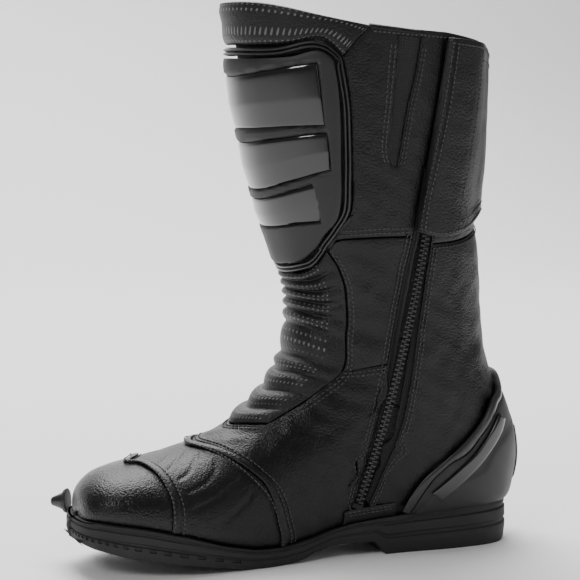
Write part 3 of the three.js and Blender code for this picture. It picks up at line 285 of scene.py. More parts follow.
def region(low, high, start=None, end=None):
    """A patch between four edges: low and high run across it, start and end run up its sides."""
    start = start or straight(low(0.0), high(0.0))
    end = end or straight(low(1.0), high(1.0))

    def corner(across, s, up, t):
        return np.array([across(s)[0], up(t)[1]])

    corners = [corner(low, 0.0, start, 0.0), corner(low, 1.0, end, 0.0),
               corner(high, 0.0, start, 1.0), corner(high, 1.0, end, 1.0)]

    def fitted(edge, first, last):
        a, b = first - edge(0.0), last - edge(1.0)
        return lambda t: edge(t) + a * (1 - t)[..., None] + b * t[..., None]

    edges = [fitted(low, corners[0], corners[1]), fitted(high, corners[2], corners[3]),
             fitted(start, corners[0], corners[2]), fitted(end, corners[1], corners[3])]

    def area(s, t):
        s, t = np.asarray(s, float), np.asarray(t, float)
        across, up = s[..., None], t[..., None]
        patch = edges[0](s) * (1 - up) + edges[1](s) * up + edges[2](t) * (1 - across) + edges[3](t) * across
        patch -= corners[0] * (1 - across) * (1 - up) + corners[1] * across * (1 - up)
        return patch - corners[2] * (1 - across) * up - corners[3] * across * up
    return area


def flipped(area):
    return lambda s, t: area(s, t) * (1, -1)


# ---- materials ----

def linear(hex_colour):
    """An sRGB hex colour as linear RGBA."""
    channels = [int(hex_colour[k:k + 2], 16) / 255 for k in (1, 3, 5)]
    return [c / 12.92 if c <= 0.04045 else ((c + 0.055) / 1.055) ** 2.4 for c in channels] + [1.0]


def node(tree, kind, inputs=None, out=0, **settings):
    """Adds a shader node, whose inputs are values or other nodes' outputs, and gives one of its outputs."""
    made = tree.nodes.new("ShaderNode" + kind)
    for key, value in settings.items():
        setattr(made, key, value)
    for key, value in (inputs or {}).items():
        if isinstance(value, bpy.types.NodeSocket):
            tree.links.new(value, made.inputs[key])
        else:
            made.inputs[key].default_value = value
    return made.outputs[out]


def new_material(name, **principled):
    material = bpy.data.materials.new(name)
    material.use_nodes = True
    shader = material.node_tree.nodes["Principled BSDF"]
    for key, value in principled.items():
        shader.inputs[key.replace("_", " ")].default_value = value
    material.diffuse_color = (0.05, 0.05, 0.05, 1)
    return material, material.node_tree, shader


def finished(material, colour, roughness, normal):
    """The material with its three textured inputs linked."""
    tree = material.node_tree
    shader = tree.nodes["Principled BSDF"]
    for key, source in (("Base Color", colour), ("Roughness", roughness), ("Normal", normal)):
        if source is not None:
            tree.links.new(source, shader.inputs[key])
    return material


HOLE_PITCH = 3.4


def grained_leather(name, base, worn, rough, perforated=False):
    """Corrected-grain cowhide with a semi-gloss finish: pebbles about 1.2 mm across, soft creases, and edges
    that are a little greyer where they rub. Perforated leather also has punched holes 3.4 mm apart."""
    material, tree, _ = new_material(name, IOR=1.5, Specular_IOR_Level=0.34)
    at = node(tree, "TexCoord", out="Object")
    warp = node(tree, "TexNoise", {"Vector": at, "Scale": 260.0, "Detail": 2.0}, "Color")
    wavy = node(tree, "MixRGB", {"Color1": at, "Color2": warp, "Fac": 0.0006}, blend_type="LINEAR_LIGHT")
    pebble = node(tree, "TexVoronoi", {"Vector": wavy, "Scale": 820.0, "Smoothness": 0.35}, "Distance",
                  feature="SMOOTH_F1")
    crease = node(tree, "TexNoise", {"Vector": at, "Scale": 62.0, "Detail": 5.0, "Roughness": 0.62}, "Fac")
    patch = node(tree, "TexNoise", {"Vector": at, "Scale": 17.0, "Detail": 3.0}, "Fac")
    edge = node(tree, "Attribute", out="Fac", attribute_name="edge")
    rubbed = node(tree, "MapRange", {"Value": crease, "From Min": 0.35, "From Max": 0.7, "To Min": 0.2,
                                     "To Max": 1.0})
    wear = node(tree, "Math", {0: edge, 1: rubbed}, operation="MULTIPLY")
    cloudy = node(tree, "Math", {0: patch, 1: 0.3}, operation="MULTIPLY")
    tint = node(tree, "Math", {0: cloudy, 1: wear}, operation="ADD")
    share = node(tree, "MapRange", {"Value": tint, "From Min": 0.12, "From Max": 1.1})
    colour = node(tree, "MixRGB", {"Fac": share, "Color1": linear(base), "Color2": linear(worn)})
    polish = node(tree, "MapRange", {"Value": patch, "From Min": 0.3, "From Max": 0.7,
                                     "To Min": rough - 0.07, "To Max": rough + 0.08})
    dulled = node(tree, "Math", {0: wear, 1: 0.12}, operation="MULTIPLY")
    shine = node(tree, "Math", {0: polish, 1: dulled}, operation="ADD")
    grain = node(tree, "Math", {0: pebble, 1: -1.0}, operation="MULTIPLY")
    fine = node(tree, "Bump", {"Height": grain, "Strength": 0.55, "Distance": 0.0005})
    height, distance = crease, 0.0011
    if perforated:
        uv = node(tree, "TexCoord", out="UV")
        holes = node(tree, "TexVoronoi", {"Vector": uv, "Scale": 1 / HOLE_PITCH, "Randomness": 0.0}, "Distance",
                     voronoi_dimensions="2D")
        rim = node(tree, "MapRange", {"Value": holes, "From Min": 0.15, "From Max": 0.23, "To Min": 1.0,
                                      "To Max": 0.0})
        where = node(tree, "Attribute", out="Fac", attribute_name="punched")
        punched = node(tree, "Math", {0: rim, 1: where}, operation="MULTIPLY")
        colour = node(tree, "MixRGB", {"Fac": punched, "Color1": colour, "Color2": linear("#5c5c60")})
        softer = node(tree, "Math", {0: height, 1: 0.6}, operation="MULTIPLY")
        height = node(tree, "Math", {0: softer, 1: punched}, operation="SUBTRACT")
        distance = 0.0007
    normal = node(tree, "Bump", {"Height": height, "Strength": 0.5, "Distance": distance, "Normal": fine})
    return finished(material, colour, shine, normal)


def moulded_plastic(name, base, light, rough, grit_mm, coat=0.0):
    """Injection-moulded shell with a spark-eroded texture: fine even grit and faint flow marks."""
    material, tree, _ = new_material(name, IOR=1.49, Coat_Weight=coat, Coat_Roughness=0.08)
    at = node(tree, "TexCoord", out="Object")
    grit = node(tree, "TexNoise", {"Vector": at, "Scale": 1000 / grit_mm, "Detail": 3.0}, "Fac")
    flow = node(tree, "TexNoise", {"Vector": at, "Scale": 24.0, "Detail": 4.0}, "Fac")
    edge = node(tree, "Attribute", out="Fac", attribute_name="edge")
    scuff = node(tree, "Math", {0: edge, 1: 0.6}, operation="MULTIPLY")
    marks = node(tree, "Math", {0: flow, 1: 0.6}, operation="MULTIPLY")
    tint = node(tree, "Math", {0: marks, 1: scuff}, operation="ADD")
    share = node(tree, "MapRange", {"Value": tint, "From Min": 0.2, "From Max": 1.0})
    colour = node(tree, "MixRGB", {"Fac": share, "Color1": linear(base), "Color2": linear(light)})
    roughness = node(tree, "MapRange", {"Value": flow, "From Min": 0.3, "From Max": 0.7,
                                        "To Min": rough - 0.05, "To Max": rough + 0.06})
    strength = 0.35 if rough > 0.3 else 0.05
    normal = node(tree, "Bump", {"Height": grit, "Strength": strength, "Distance": 0.00035})
    return finished(material, colour, roughness, normal)


def moulded_rubber():
    """Vulcanised rubber: dull, slightly dusty grey-black, with a fine mould texture."""
    material, tree, _ = new_material("vulcanised_rubber", IOR=1.52)
    at = node(tree, "TexCoord", out="Object")
    dust = node(tree, "TexNoise", {"Vector": at, "Scale": 48.0, "Detail": 6.0, "Roughness": 0.6}, "Fac")
    fine = node(tree, "TexNoise", {"Vector": at, "Scale": 1300.0, "Detail": 2.0}, "Fac")
    share = node(tree, "MapRange", {"Value": dust, "From Min": 0.3, "From Max": 0.75})
    colour = node(tree, "MixRGB", {"Fac": share, "Color1": linear("#0d0d0e"), "Color2": linear("#1a1a1b")})
    roughness = node(tree, "MapRange", {"Value": dust, "From Min": 0.3, "From Max": 0.7,
                                        "To Min": 0.58, "To Max": 0.78})
    normal = node(tree, "Bump", {"Height": fine, "Strength": 0.4, "Distance": 0.0003})
    return finished(material, colour, roughness, normal)


def woven_cloth(name, base, light, thread_mm, rough=0.9, diagonal=False):
    """Knitted or woven synthetic: crossed threads drawn coarse enough to read, with a soft fuzz."""
    material, tree, _ = new_material(name, IOR=1.46, Sheen_Weight=0.25, Sheen_Roughness=0.5,
                                     Roughness=rough)
    turn = (0, 0, math.radians(45 if diagonal else 0))
    flat = node(tree, "TexCoord", out="UV")
    uv = node(tree, "Mapping", {"Vector": flat, "Rotation": turn})
    waves = [node(tree, "TexWave", {"Vector": uv, "Scale": math.pi / (10 * thread_mm), "Distortion": 0.4},
                  "Fac",
                  bands_direction=way) for way in ("X", "Y")]
    weave = node(tree, "Math", {0: waves[0], 1: waves[1]}, operation="MULTIPLY")
    at = node(tree, "TexCoord", out="Object")
    fuzz = node(tree, "TexNoise", {"Vector": at, "Scale": 300.0, "Detail": 4.0}, "Fac")
    threads = node(tree, "Math", {0: weave, 1: 0.6}, operation="MULTIPLY")
    soft = node(tree, "Math", {0: fuzz, 1: 0.4}, operation="MULTIPLY")
    tint = node(tree, "Math", {0: threads, 1: soft}, operation="ADD")
    share = node(tree, "MapRange", {"Value": tint, "From Min": 0.1, "From Max": 0.9})
    colour = node(tree, "MixRGB", {"Fac": share, "Color1": linear(base), "Color2": linear(light)})
    normal = node(tree, "Bump", {"Height": weave, "Strength": 0.7, "Distance": 0.0004})
    return finished(material, colour, None, normal)


def plain_finish(name, base, light, rough, metallic=0.0, scale=180.0):
    """A plain finish with slight mottling, for thread, board, foam and small fittings."""
    material, tree, _ = new_material(name, Metallic=metallic)
    at = node(tree, "TexCoord", out="Object")
    mottle = node(tree, "TexNoise", {"Vector": at, "Scale": scale, "Detail": 4.0}, "Fac")
    share = node(tree, "MapRange", {"Value": mottle, "From Min": 0.3, "From Max": 0.75})
    colour = node(tree, "MixRGB", {"Fac": share, "Color1": linear(base), "Color2": linear(light)})
    roughness = node(tree, "MapRange", {"Value": mottle, "From Min": 0.3, "From Max": 0.7,
                                        "To Min": rough - 0.06, "To Max": rough + 0.06})
    normal = node(tree, "Bump", {"Height": mottle, "Strength": 0.4, "Distance": 0.0002})
    return finished(material, colour, roughness, normal)


LEATHER = grained_leather("semi_gloss_cowhide", "#060607", "#1d1d1f", 0.36)
SMOOTH_LEATHER = grained_leather("smooth_toe_cowhide", "#060607", "#1c1c1e", 0.3)
PUNCHED_LEATHER = grained_leather("perforated_soft_cowhide", "#080809", "#1d1d1f", 0.42, perforated=True)
PLATE_PLASTIC = moulded_plastic("textured_polyurethane_shell", "#101011", "#202021", 0.5, 0.7)
RIM_PLASTIC = moulded_plastic("satin_polyurethane_trim", "#111112", "#262627", 0.34, 0.9, 0.15)
GLOSS_PLASTIC = moulded_plastic("polished_black_nylon", "#040404", "#080808", 0.1, 2.0, 0.6)
RUBBER = moulded_rubber()
STRETCH_CLOTH = woven_cloth("black_stretch_knit", "#08080a", "#1e1e20", 1.1)
LINING_CLOTH = woven_cloth("grey_spacer_mesh_lining", "#121214", "#2c2c2f", 1.5, diagonal=True)
ZIP_TAPE = woven_cloth("herringbone_zip_tape", "#070708", "#161617", 0.8, diagonal=True)
TOUCH_TAPE = plain_finish("brushed_loop_nylon", "#08080a", "#1c1c1e", 0.95, scale=900.0)
THREAD = plain_finish("bonded_nylon_thread", "#2b2b2d", "#47474a", 0.6, scale=1500.0)
ZIP_TEETH = plain_finish("moulded_acetal_teeth", "#0f0f10", "#232325", 0.3)
ENAMEL = plain_finish("black_enamelled_zinc", "#141416", "#2c2c2f", 0.28, 0.7)
FOAM = plain_finish("pressed_foam_footbed", "#1c1c1e", "#333336", 0.95, scale=420.0)
BOARD = plain_finish("pressed_cellulose_board", "#6a5842", "#937d5e", 0.9, scale=300.0)
STEEL = plain_finish("cold_rolled_steel", "#8d8f93", "#b0b2b6", 0.32, 1.0)

# ---- building pieces ----


def settle(piece, how):
    """The piece moves with a body; one that crosses the ankle, between foot and shaft, is given no body and
    keeps its place.
    """
    if how == "ankle":
        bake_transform(piece)
    else:
        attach(piece, how)


def object_of(bm, name, material, smooth=True):
    mesh = bpy.data.meshes.new(name)
    for face in bm.faces:
        face.smooth = smooth
    bm.to_mesh(mesh)
    bm.free()
    piece = bpy.data.objects.new(name, mesh)
    bpy.context.scene.collection.objects.link(piece)
    mesh.materials.append(material)
    return piece


def smooth_by_angle(piece, degrees=35):
    piece.data.set_sharp_from_angle(angle=math.radians(degrees))


def wrinkles(p, size, depth):
    """Soft uneven creases, from crossed waves of several sizes."""
    x, y, z = p[..., 0] / size, p[..., 1] / size, p[..., 2] / size
    wave = np.sin(2.1 * x + 1.7 * np.sin(1.3 * z + 0.6 * y)) * np.sin(1.1 * z + 1.9 * np.sin(0.9 * x))
    return depth * (wave + 0.5 * np.sin(3.7 * z + 2.3 * x + 1.9 * np.sin(2.9 * y)))


def grid(columns, rows):
    bm = bmesh.new()
    bmesh.ops.create_grid(bm, x_segments=columns, y_segments=rows, size=0.5)
    bm.verts.ensure_lookup_table()
    flat = np.array([v.co[:2] for v in bm.verts]) + 0.5
    return bm, flat[:, 0], flat[:, 1]


def place(bm, points):
    for vert, p in zip(bm.verts, points):
        vert.co = Vector(p) * MM


def face_outwards(bm, outward):
    """Turns the whole sheet over if its faces look the other way."""
    bm.normal_update()
    votes = sum(face.normal.dot(Vector(outward[face.verts[0].index])) for face in bm.faces)
    if votes < 0:
        bmesh.ops.reverse_faces(bm, faces=bm.faces)


def lay_out(bm, s, t, width, length):
    """A UV map in millimetres across and along the piece."""
    layer = bm.loops.layers.uv.new("cloth")
    for face in bm.faces:
        for loop in face.loops:
            loop[layer].uv = (s[loop.vert.index] * width, t[loop.vert.index] * length)


def mark(piece, name, values):
    layer = piece.data.attributes.new(name, "FLOAT", "POINT")
    layer.data.foreach_set("value", np.asarray(values, np.float32))


def spans(area):
    """Mean width and length of an area in millimetres."""
    k = np.linspace(0, 1, 30)
    across = [face_point(*area(k, np.full(30, t)).T) for t in (0.25, 0.5, 0.75)]
    along = [face_point(*area(np.full(30, s), k).T) for s in (0.25, 0.5, 0.75)]
    total = [np.mean([np.linalg.norm(np.diff(line, axis=0),
                                     axis=1).sum() for line in lines]) for lines in (across, along)]
    return total[0], total[1]


def panel(name, area, material, how, nodes=(), size=2.2, lift=0.0, thickness=1.6, crown=0.7, roll=3.5,
          crease=0.0,
          round_edge=0.45, punched=None, ring=False):
    """A sheet over an area of the outer face, crowned between its edges, with its thickness inwards."""
    width, length = spans(area)
    columns, rows = max(4, round(width / size)), max(4, round(length / size))
    bm, s, t = grid(columns, rows)
    vg = area(s, t)
    from_edge = np.minimum(np.minimum(t, 1 - t) * length, 1e3 if ring else np.minimum(s, 1 - s) * width)
    swell = crown * (1 - np.exp(-from_edge / roll))
    base = face_point(vg[:, 0], vg[:, 1])
    raised = lift(s, t, vg) if callable(lift) else lift
    normal = face_normal(vg[:, 0], vg[:, 1])
    fade = np.clip(from_edge / 8, 0, 1)
    out = raised + swell - crown + (wrinkles(base, 9, crease) * fade if crease else 0)
    place(bm, base + normal * np.asarray(out)[..., None])
    face_outwards(bm, normal)
    lay_out(bm, s, t, width, length)
    worn = np.exp(-from_edge / 2.2)
    piece = object_of(bm, name, material)
    mark(piece, "edge", worn)
    mark(piece, "punched", np.ones(len(s)) if punched is None else punched(s, t))
    if ring:
        weld = piece.modifiers.new("weld", "WELD")
        weld.merge_threshold = 0.00005
    wall = piece.modifiers.new("wall", "SOLIDIFY")
    wall.thickness = thickness * MM
    wall.offset = -1
    if round_edge:
        edge = piece.modifiers.new("edge", "BEVEL")
        edge.width = round_edge * MM
        edge.segments = 2
        edge.limit_method = "ANGLE"
        edge.angle_limit = math.radians(50)
    settle(piece, how)
    if nodes:
        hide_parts(*nodes)
    return piece


def stitch_line(name, line, how, pitch=3.0, length=2.1, thick=0.42):
    """Lockstitches along a line of points in millimetres."""
    reach = np.concatenate([[0], np.cumsum(np.linalg.norm(np.diff(line, axis=0), axis=1))])
    count = max(2, int(reach[-1] / pitch))
    at = (np.arange(count) + 0.5) * reach[-1] / count
    middle, ahead, behind = (
        np.stack([np.interp(at + shift, reach, line[:, k]) for k in range(3)], 1) for shift in (0, 0.4,
                -0.4))
    bm = bmesh.new()
    for centre, way in zip(middle, ahead - behind):
        turn = Vector(way).to_track_quat("Z", "Y").to_matrix().to_4x4()
        bmesh.ops.create_cone(bm, cap_ends=True, segments=6, radius1=thick * MM, radius2=thick * MM,
                              depth=length * MM, matrix=Matrix.Translation(Vector(centre) * MM) @ turn)
    piece = object_of(bm, name, THREAD)
    settle(piece, how)
    return piece


def stitch_row(name, edge, how, lift=0.12, start=0.0, end=1.0, **settings):
    """Lockstitches along an edge on the outer face, sunk a little into the leather."""
    return stitch_line(name, lifted(edge(np.linspace(start, end, 400)), lift), how, **settings)


def double_stitch(name, edge, how, inset, gap=2.6, girthwise=True, **settings):
    """Two rows beside an edge, the first an inset from it."""
    for k, at in enumerate((inset, inset + math.copysign(gap, inset))):
        line = moved(edge, 0, at) if girthwise else moved(edge, at, 0)
        stitch_row(f"{name}_{k + 1}", line, how, **settings)


def cord_along(name, points, radius, material, how, sides=8, closed=False):
    """A round piping along a line of points."""
    curve = bpy.data.curves.new(name, "CURVE")
    curve.dimensions = "3D"
    curve.bevel_depth = radius * MM
    curve.bevel_resolution = max(1, sides // 4)
    curve.use_fill_caps = True
    spline = curve.splines.new("POLY")
    spline.points.add(len(points) - 1)
    for spot, p in zip(spline.points, points):
        spot.co = (*(Vector(p) * MM), 1)
    spline.use_cyclic_u = closed
    holder = bpy.data.objects.new(name, curve)
    bpy.context.scene.collection.objects.link(holder)
    mesh = bpy.data.meshes.new_from_object(holder)
    bpy.data.objects.remove(holder)
    mesh.name = name
    mesh.materials.clear()
    mesh.materials.append(material)
    for face in mesh.polygons:
        face.use_smooth = True
    piece = bpy.data.objects.new(name, mesh)
    bpy.context.scene.collection.objects.link(piece)
    settle(piece, how)
    return piece

# ---- seam lines shared by neighbouring pieces, as on the CAD part ----

SEAM_GAP = 0.7
HALF = SEAM_GAP / 2
LAYER = 0.5


def over_foot(rows):
    """A seam across the top of the foot, from one feather line over to the other."""
    v = rows[-1][0]
    outer = rows + [(v, float(feather_girth(v)))]
    inner = [(a, -g) for a, g in reversed(outer)]
    return seam(inner[:-1] + outer)


TOE_SEAM = over_foot([(4.35, 0), (4.75, 0.07), (5.05, 0.18), (5.28, 0.3), (5.45, 0.44)])
PAD_SEAM = over_foot([(6.68, 0), (6.85, 0.08), (7.3, 0.19), (7.98, 0.33), (8.45, 0.44), (8.62, 0.58)])
RIB_SIDE = seam([(8.95, 0.18), (9.8, 0.22), (10.7, 0.26), (11.6, 0.28), (12.4, 0.285), (14.5, 0.27),
                 (16, 0.28), (17.1, 0.29), (18, 0.3), (18.7, 0.29), (19.2, 0.265)])
RIB_FOOT = seam([(8.95, -0.18), (8.38, -0.1), (7.98, 0), (8.38, 0.1), (8.95, 0.18)])
PLATE_FOOT = seam([(19.2, -0.265), (18.7, -0.22), (18.2, -0.17), (17.8, -0.1), (17.6, 0),
                   (17.8, 0.1), (18.2, 0.17), (18.7, 0.22), (19.2, 0.265)])
RIM_SIDE = seam([(19.2, 0.265), (19.8, 0.31), (20.3, 0.36), (20.9, 0.385), (21.6, 0.393), (22.3, 0.4),
                 (23, 0.4), (23.45, 0.39)])
RIM_TOP = seam([(23.45, -0.39), (23.66, -0.34), (23.55, -0.25), (23.5, -0.12), (23.5, 0),
                (23.5, 0.12), (23.55, 0.25), (23.66, 0.34), (23.45, 0.39)])
ZIP_FRONT = from_feather([(24.5, 33), (28, 45), (35.5, 70), (43, 98), (47, 116), (49.5, 132), (53, 155),
                          (58, 183), (63, 208)])
ZIP_REAR = from_feather([(38, 34), (46, 53), (53, 69), (60, 90), (65, 120), (68.5, 147), (72, 172),
                         (76, 203)])
CROSS_AT = 5.6 / 9
CROSS_SEAM = straight(ZIP_FRONT(CROSS_AT), RIB_SIDE(0.4))
ZIP_FRONT_UPPER = side_seam([(63, 208), (66.5, 228), (70, 252)])
ZIP_REAR_UPPER = side_seam([(76, 203), (79, 228), (82, 252)])
CUFF_FOOT = seam([(19.2, 0.265), (19.6, 0.3), (19.9, 0.4), (20.2, 0.53)])
TOP = 23.92
CUFF_SEAM = side_seam([(76, 252), (78, 280), (81, 305), (84, 334)])
COLLAR_REAR = seam([(23.45, 0.39), (23.7, 0.425), (TOP, 0.46)])
QUARTER_END = last_feather_station(0.9)
BACK_LOW = seam([(QUARTER_END, 1), (15, 1), (17, 1), (19, 1), (20.9, 1)])
BACK_HIGH = seam([(20.9, 1), (22, 1), (23, 1), (TOP, 1)])
QUARTER_TOP = seam([(20.1, 0.585), (20.3, 0.7), (20.6, 0.85), (20.9, 1)])
OUTER_QUARTER_TOP = seam([(20.2, 0.532), (20.2, 0.7), (20.6, 0.85), (20.9, 1)])
SIDES = (("medial", -1), ("lateral", 1))

# ---- upper, foot ----


def toe_and_pad():
    toe_end = moved(TOE_SEAM, -HALF, 0)
    pole = straight((0.02, -CLOSED), (0.02, CLOSED))
    toe = region(pole, toe_end, feather(0.02, toe_end(0.0)[0], -1), feather(0.02, toe_end(1.0)[0], 1))
    panel("toe_cap_leather", toe, SMOOTH_LEATHER, "foot", ["toe_cap"], size=2.4, crown=0.3, crease=0.12)
    low, high = moved(TOE_SEAM, HALF, 0), moved(PAD_SEAM, -HALF, 0)
    pad = region(low, high, feather(low(0.0)[0], high(0.0)[0], -1), feather(low(1.0)[0], high(1.0)[0], 1))

    def lines(s, t, vg):
        """Fine slanted grooves moulded into a field on each half of the pad."""
        slant = np.abs(s - 0.5) * 15 + t * 3.4
        groove = np.exp(-((slant % 1 - 0.5) / 0.13) ** 2)
        field = np.clip(np.minimum(np.abs(s - 0.5) - 0.05, 0.42 - np.abs(s - 0.5)) * 40, 0, 1)
        return -0.55 * groove * field * np.clip(np.minimum(t - 0.12, 0.86 - t) * 14, 0, 1)
    panel("shift_pad_leather", pad, LEATHER, "foot", ["shift_pad"], size=0.9, lift=lines, crown=0.3)
    for label, line, shift in (("front", TOE_SEAM, 0), ("rear", PAD_SEAM, -2.5)):
        low, high = moved(line, shift - 2.5, 0), moved(line, shift + 2.5, 0)
        strip = region(low, high, feather(low(0.0)[0], high(0.0)[0], -1, 2.4),
                       feather(low(1.0)[0], high(1.0)[0], 1, 2.4))
        panel(f"shift_pad_{label}_binding", strip, SMOOTH_LEATHER, "foot", [f"shift_pad_{label}_trim"],
              size=1.2,
              lift=1.9, thickness=1.2, crown=0.6, roll=1.2, round_edge=0.3)
        stitch_row(f"{label}_binding_stitch", moved(line, shift - 1.4, 0), "foot", lift=2.0, start=0.04,
                   end=0.96)
    stitch_row("pad_stitch_front", moved(TOE_SEAM, 5.0, 0), "foot", start=0.03, end=0.97)
    stitch_row("pad_stitch_rear", moved(PAD_SEAM, 3.2, 0), "foot", lift=0.4, start=0.03, end=0.97)
    stitch_row("pad_stitch_rear_2", moved(PAD_SEAM, 5.8, 0), "foot", lift=0.4, start=0.03, end=0.97)


def welt():
    """A rubber cord laid in the corner between the upper and the sole, round the toe from heel to heel."""
    k = np.linspace(0, 1, 160) ** 2
    inner = lifted(feather(0.04, HEEL_END, -1)(k[::-1]), 0.9)
    outer = lifted(feather(0.04, HEEL_END, 1)(k), 0.9)
    cord_along("sole_welt", np.concatenate([inner, outer]), 1.25, RUBBER, "foot")


def zip_foot_tab():
    """A leather tab over the foot of the zip, double stitched along its top."""
    front, rear = float(ZIP_FRONT(0.0)[0]) - 0.25, float(ZIP_REAR(0.0)[0]) + 0.35
    area = region(feather(front, rear, -1, 0.8), feather(front + 0.1, rear + 0.1, -1, 10.5))
    panel("zip_foot_tab", area, SMOOTH_LEATHER, "foot", size=1.2, lift=1.5, thickness=1.2, crown=0.4,
          roll=1.4,
          round_edge=0.3)
    for number, rise in enumerate((9.0, 6.9)):
        stitch_row(f"zip_foot_stitch_{number + 1}", feather(front + 0.12, rear + 0.05, -1, rise), "foot",
                   lift=1.45,
                   start=0.05, end=0.95)


def vamp():
    rib_part = moved(mirrored(turned_back(stretch(RIB_SIDE, 0, 0.4))), 0, -HALF)
    inner_side = joined(mirrored(stretch(ZIP_FRONT, 0, CROSS_AT)),
                        joined(moved(mirrored(CROSS_SEAM), -HALF, 0), rib_part, 3 / 9), 8 / 17)
    end = joined(inner_side, joined(moved(RIB_FOOT, -HALF, 0), mirrored(turned_back(inner_side)), 6 / 23),
                 17 / 40)
    start = moved(PAD_SEAM, HALF, 0)
    area = region(start, end, feather(start(0.0)[0], end(0.0)[0], -1),
                  feather(start(1.0)[0], end(1.0)[0], 1))
    panel("vamp_leather", area, LEATHER, "foot", ["vamp"], size=2.0, crown=0.4, crease=0.3)


def rib_panel():
    area = region(moved(RIB_FOOT, HALF, 0), moved(PLATE_FOOT, -HALF, 0),
                  moved(mirrored(RIB_SIDE), 0, HALF), moved(RIB_SIDE, 0, -HALF))

    def ribs(s, t, vg):
        wave = np.abs(np.sin(math.pi * 10 * t)) ** 0.8
        return 0.4 + 3.1 * wave * np.minimum(1, 5 * np.minimum(s, 1 - s))

    def crests(s, t):
        return np.where((np.abs(np.sin(math.pi * 10 * t)) > 0.62) & (np.minimum(s, 1 - s) > 0.13), 1.0, 0.0)
    piece = panel("ribbed_ankle_padding", area, PUNCHED_LEATHER, "ankle", ["flex_panel"], size=0.95,
                  lift=ribs,
                  crown=0.2, round_edge=0, punched=crests)


def ankle_sides():
    for label, side in SIDES:
        turn = flipped if side < 0 else (lambda area: area)
        bend = mirrored if side < 0 else (lambda edge: edge)
        area = region(moved(turned_back(CROSS_SEAM), HALF, 0), moved(CUFF_FOOT, -0.7, 0),
                      moved(stretch(RIB_SIDE, 0.4, 1), 0, SEAM_GAP), stretch(ZIP_FRONT, CROSS_AT, 1))
        panel(f"ankle_side_{label}", turn(area), LEATHER, "ankle", [f"ankle_panel_{label}"], size=1.9,
              crease=0.35)
        low, high = stretch(RIB_SIDE, 0.4, 1), stretch(RIB_SIDE, 0, 0.4)
        for k, inset in enumerate((2.4, 5.0)):
            stitch_row(f"rib_edge_{label}_{k + 1}", bend(moved(low, 0, inset)), "ankle", start=0.03,
                       end=0.97)
            stitch_row(f"instep_edge_{label}_{k + 1}", bend(moved(high, 0, inset)), "foot", start=0.02,
                       end=0.98)
            stitch_row(f"cross_seam_{label}_{k + 1}", bend(moved(CROSS_SEAM, -2 - 2.6 * k, 0)), "foot",
                       start=0.06,
                       end=0.94)
    for k, inset in enumerate((2.2, 4.8)):
        stitch_row(f"rib_foot_stitch_{k + 1}", moved(RIB_FOOT, -inset, 0), "foot", start=0.03, end=0.97)


def quarters():
    for label, side in SIDES:
        turn = flipped if side < 0 else (lambda area: area)
        bend = mirrored if side < 0 else (lambda edge: edge)
        front = ZIP_REAR if side < 0 else moved(ZIP_FRONT, 2.6, 2.6)
        low = feather(front(0.0)[0], QUARTER_END, 1, 0.9)
        high = QUARTER_TOP if side < 0 else OUTER_QUARTER_TOP
        area = region(joined(straight(front(0.0), low(0.02)), stretch(low, 0.02, 1), 0.05),
                      moved(high, -0.7, 0),
                      front, moved(BACK_LOW, 0, -HALF))
        panel(f"rear_quarter_leather_{label}", turn(lambda s, t, area=area: area(s, t**1.6)), LEATHER,
              "ankle",
              [f"rear_quarter_{label}"], size=2.0, crease=0.35)
        double_stitch(f"quarter_back_{label}", bend(moved(stretch(BACK_LOW, 0.42, 1), 0, 0)), "ankle",
                      2.4 if side < 0 else -2.4, start=0.02, end=0.98)
        for k, inset in enumerate((1.9, 4.4)):
            stitch_row(f"quarter_front_{label}_{k + 1}", bend(moved(front, 0, inset)), "ankle",
                       start=0.02, end=0.98)
            if side < 0:
                stitch_row(f"zip_front_stitch_{k + 1}",
                           bend(moved(stretch(ZIP_FRONT, CROSS_AT, 1), 0, -inset)),
                           "ankle", start=0.02, end=0.99)
                stitch_row(f"vamp_zip_stitch_{k + 1}",
                           bend(moved(stretch(ZIP_FRONT, 0, CROSS_AT), 0, -inset)),
                           "foot", start=0.05, end=0.98)
            else:
                stitch_row(f"outer_seam_stitch_{k + 1}", moved(stretch(ZIP_FRONT, CROSS_AT, 1), 0, -inset),
                           "ankle", start=0.02, end=0.99)
        stitch_row(f"quarter_top_{label}", bend(moved(high, -3.0, 0)), "ankle", start=0.03, end=0.97)

# ---- upper, shaft ----


SLOT_LEFT = seam([(21.6, 0.5), (21.9, 0.488), (22.75, 0.5), (23.4, 0.51), (24.2, 0.525)])
SLOT_RIGHT = seam([(21.6, 0.505), (21.9, 0.512), (22.75, 0.532), (23.4, 0.558), (24.2, 0.585)])
SLOT_TOP = 0.88


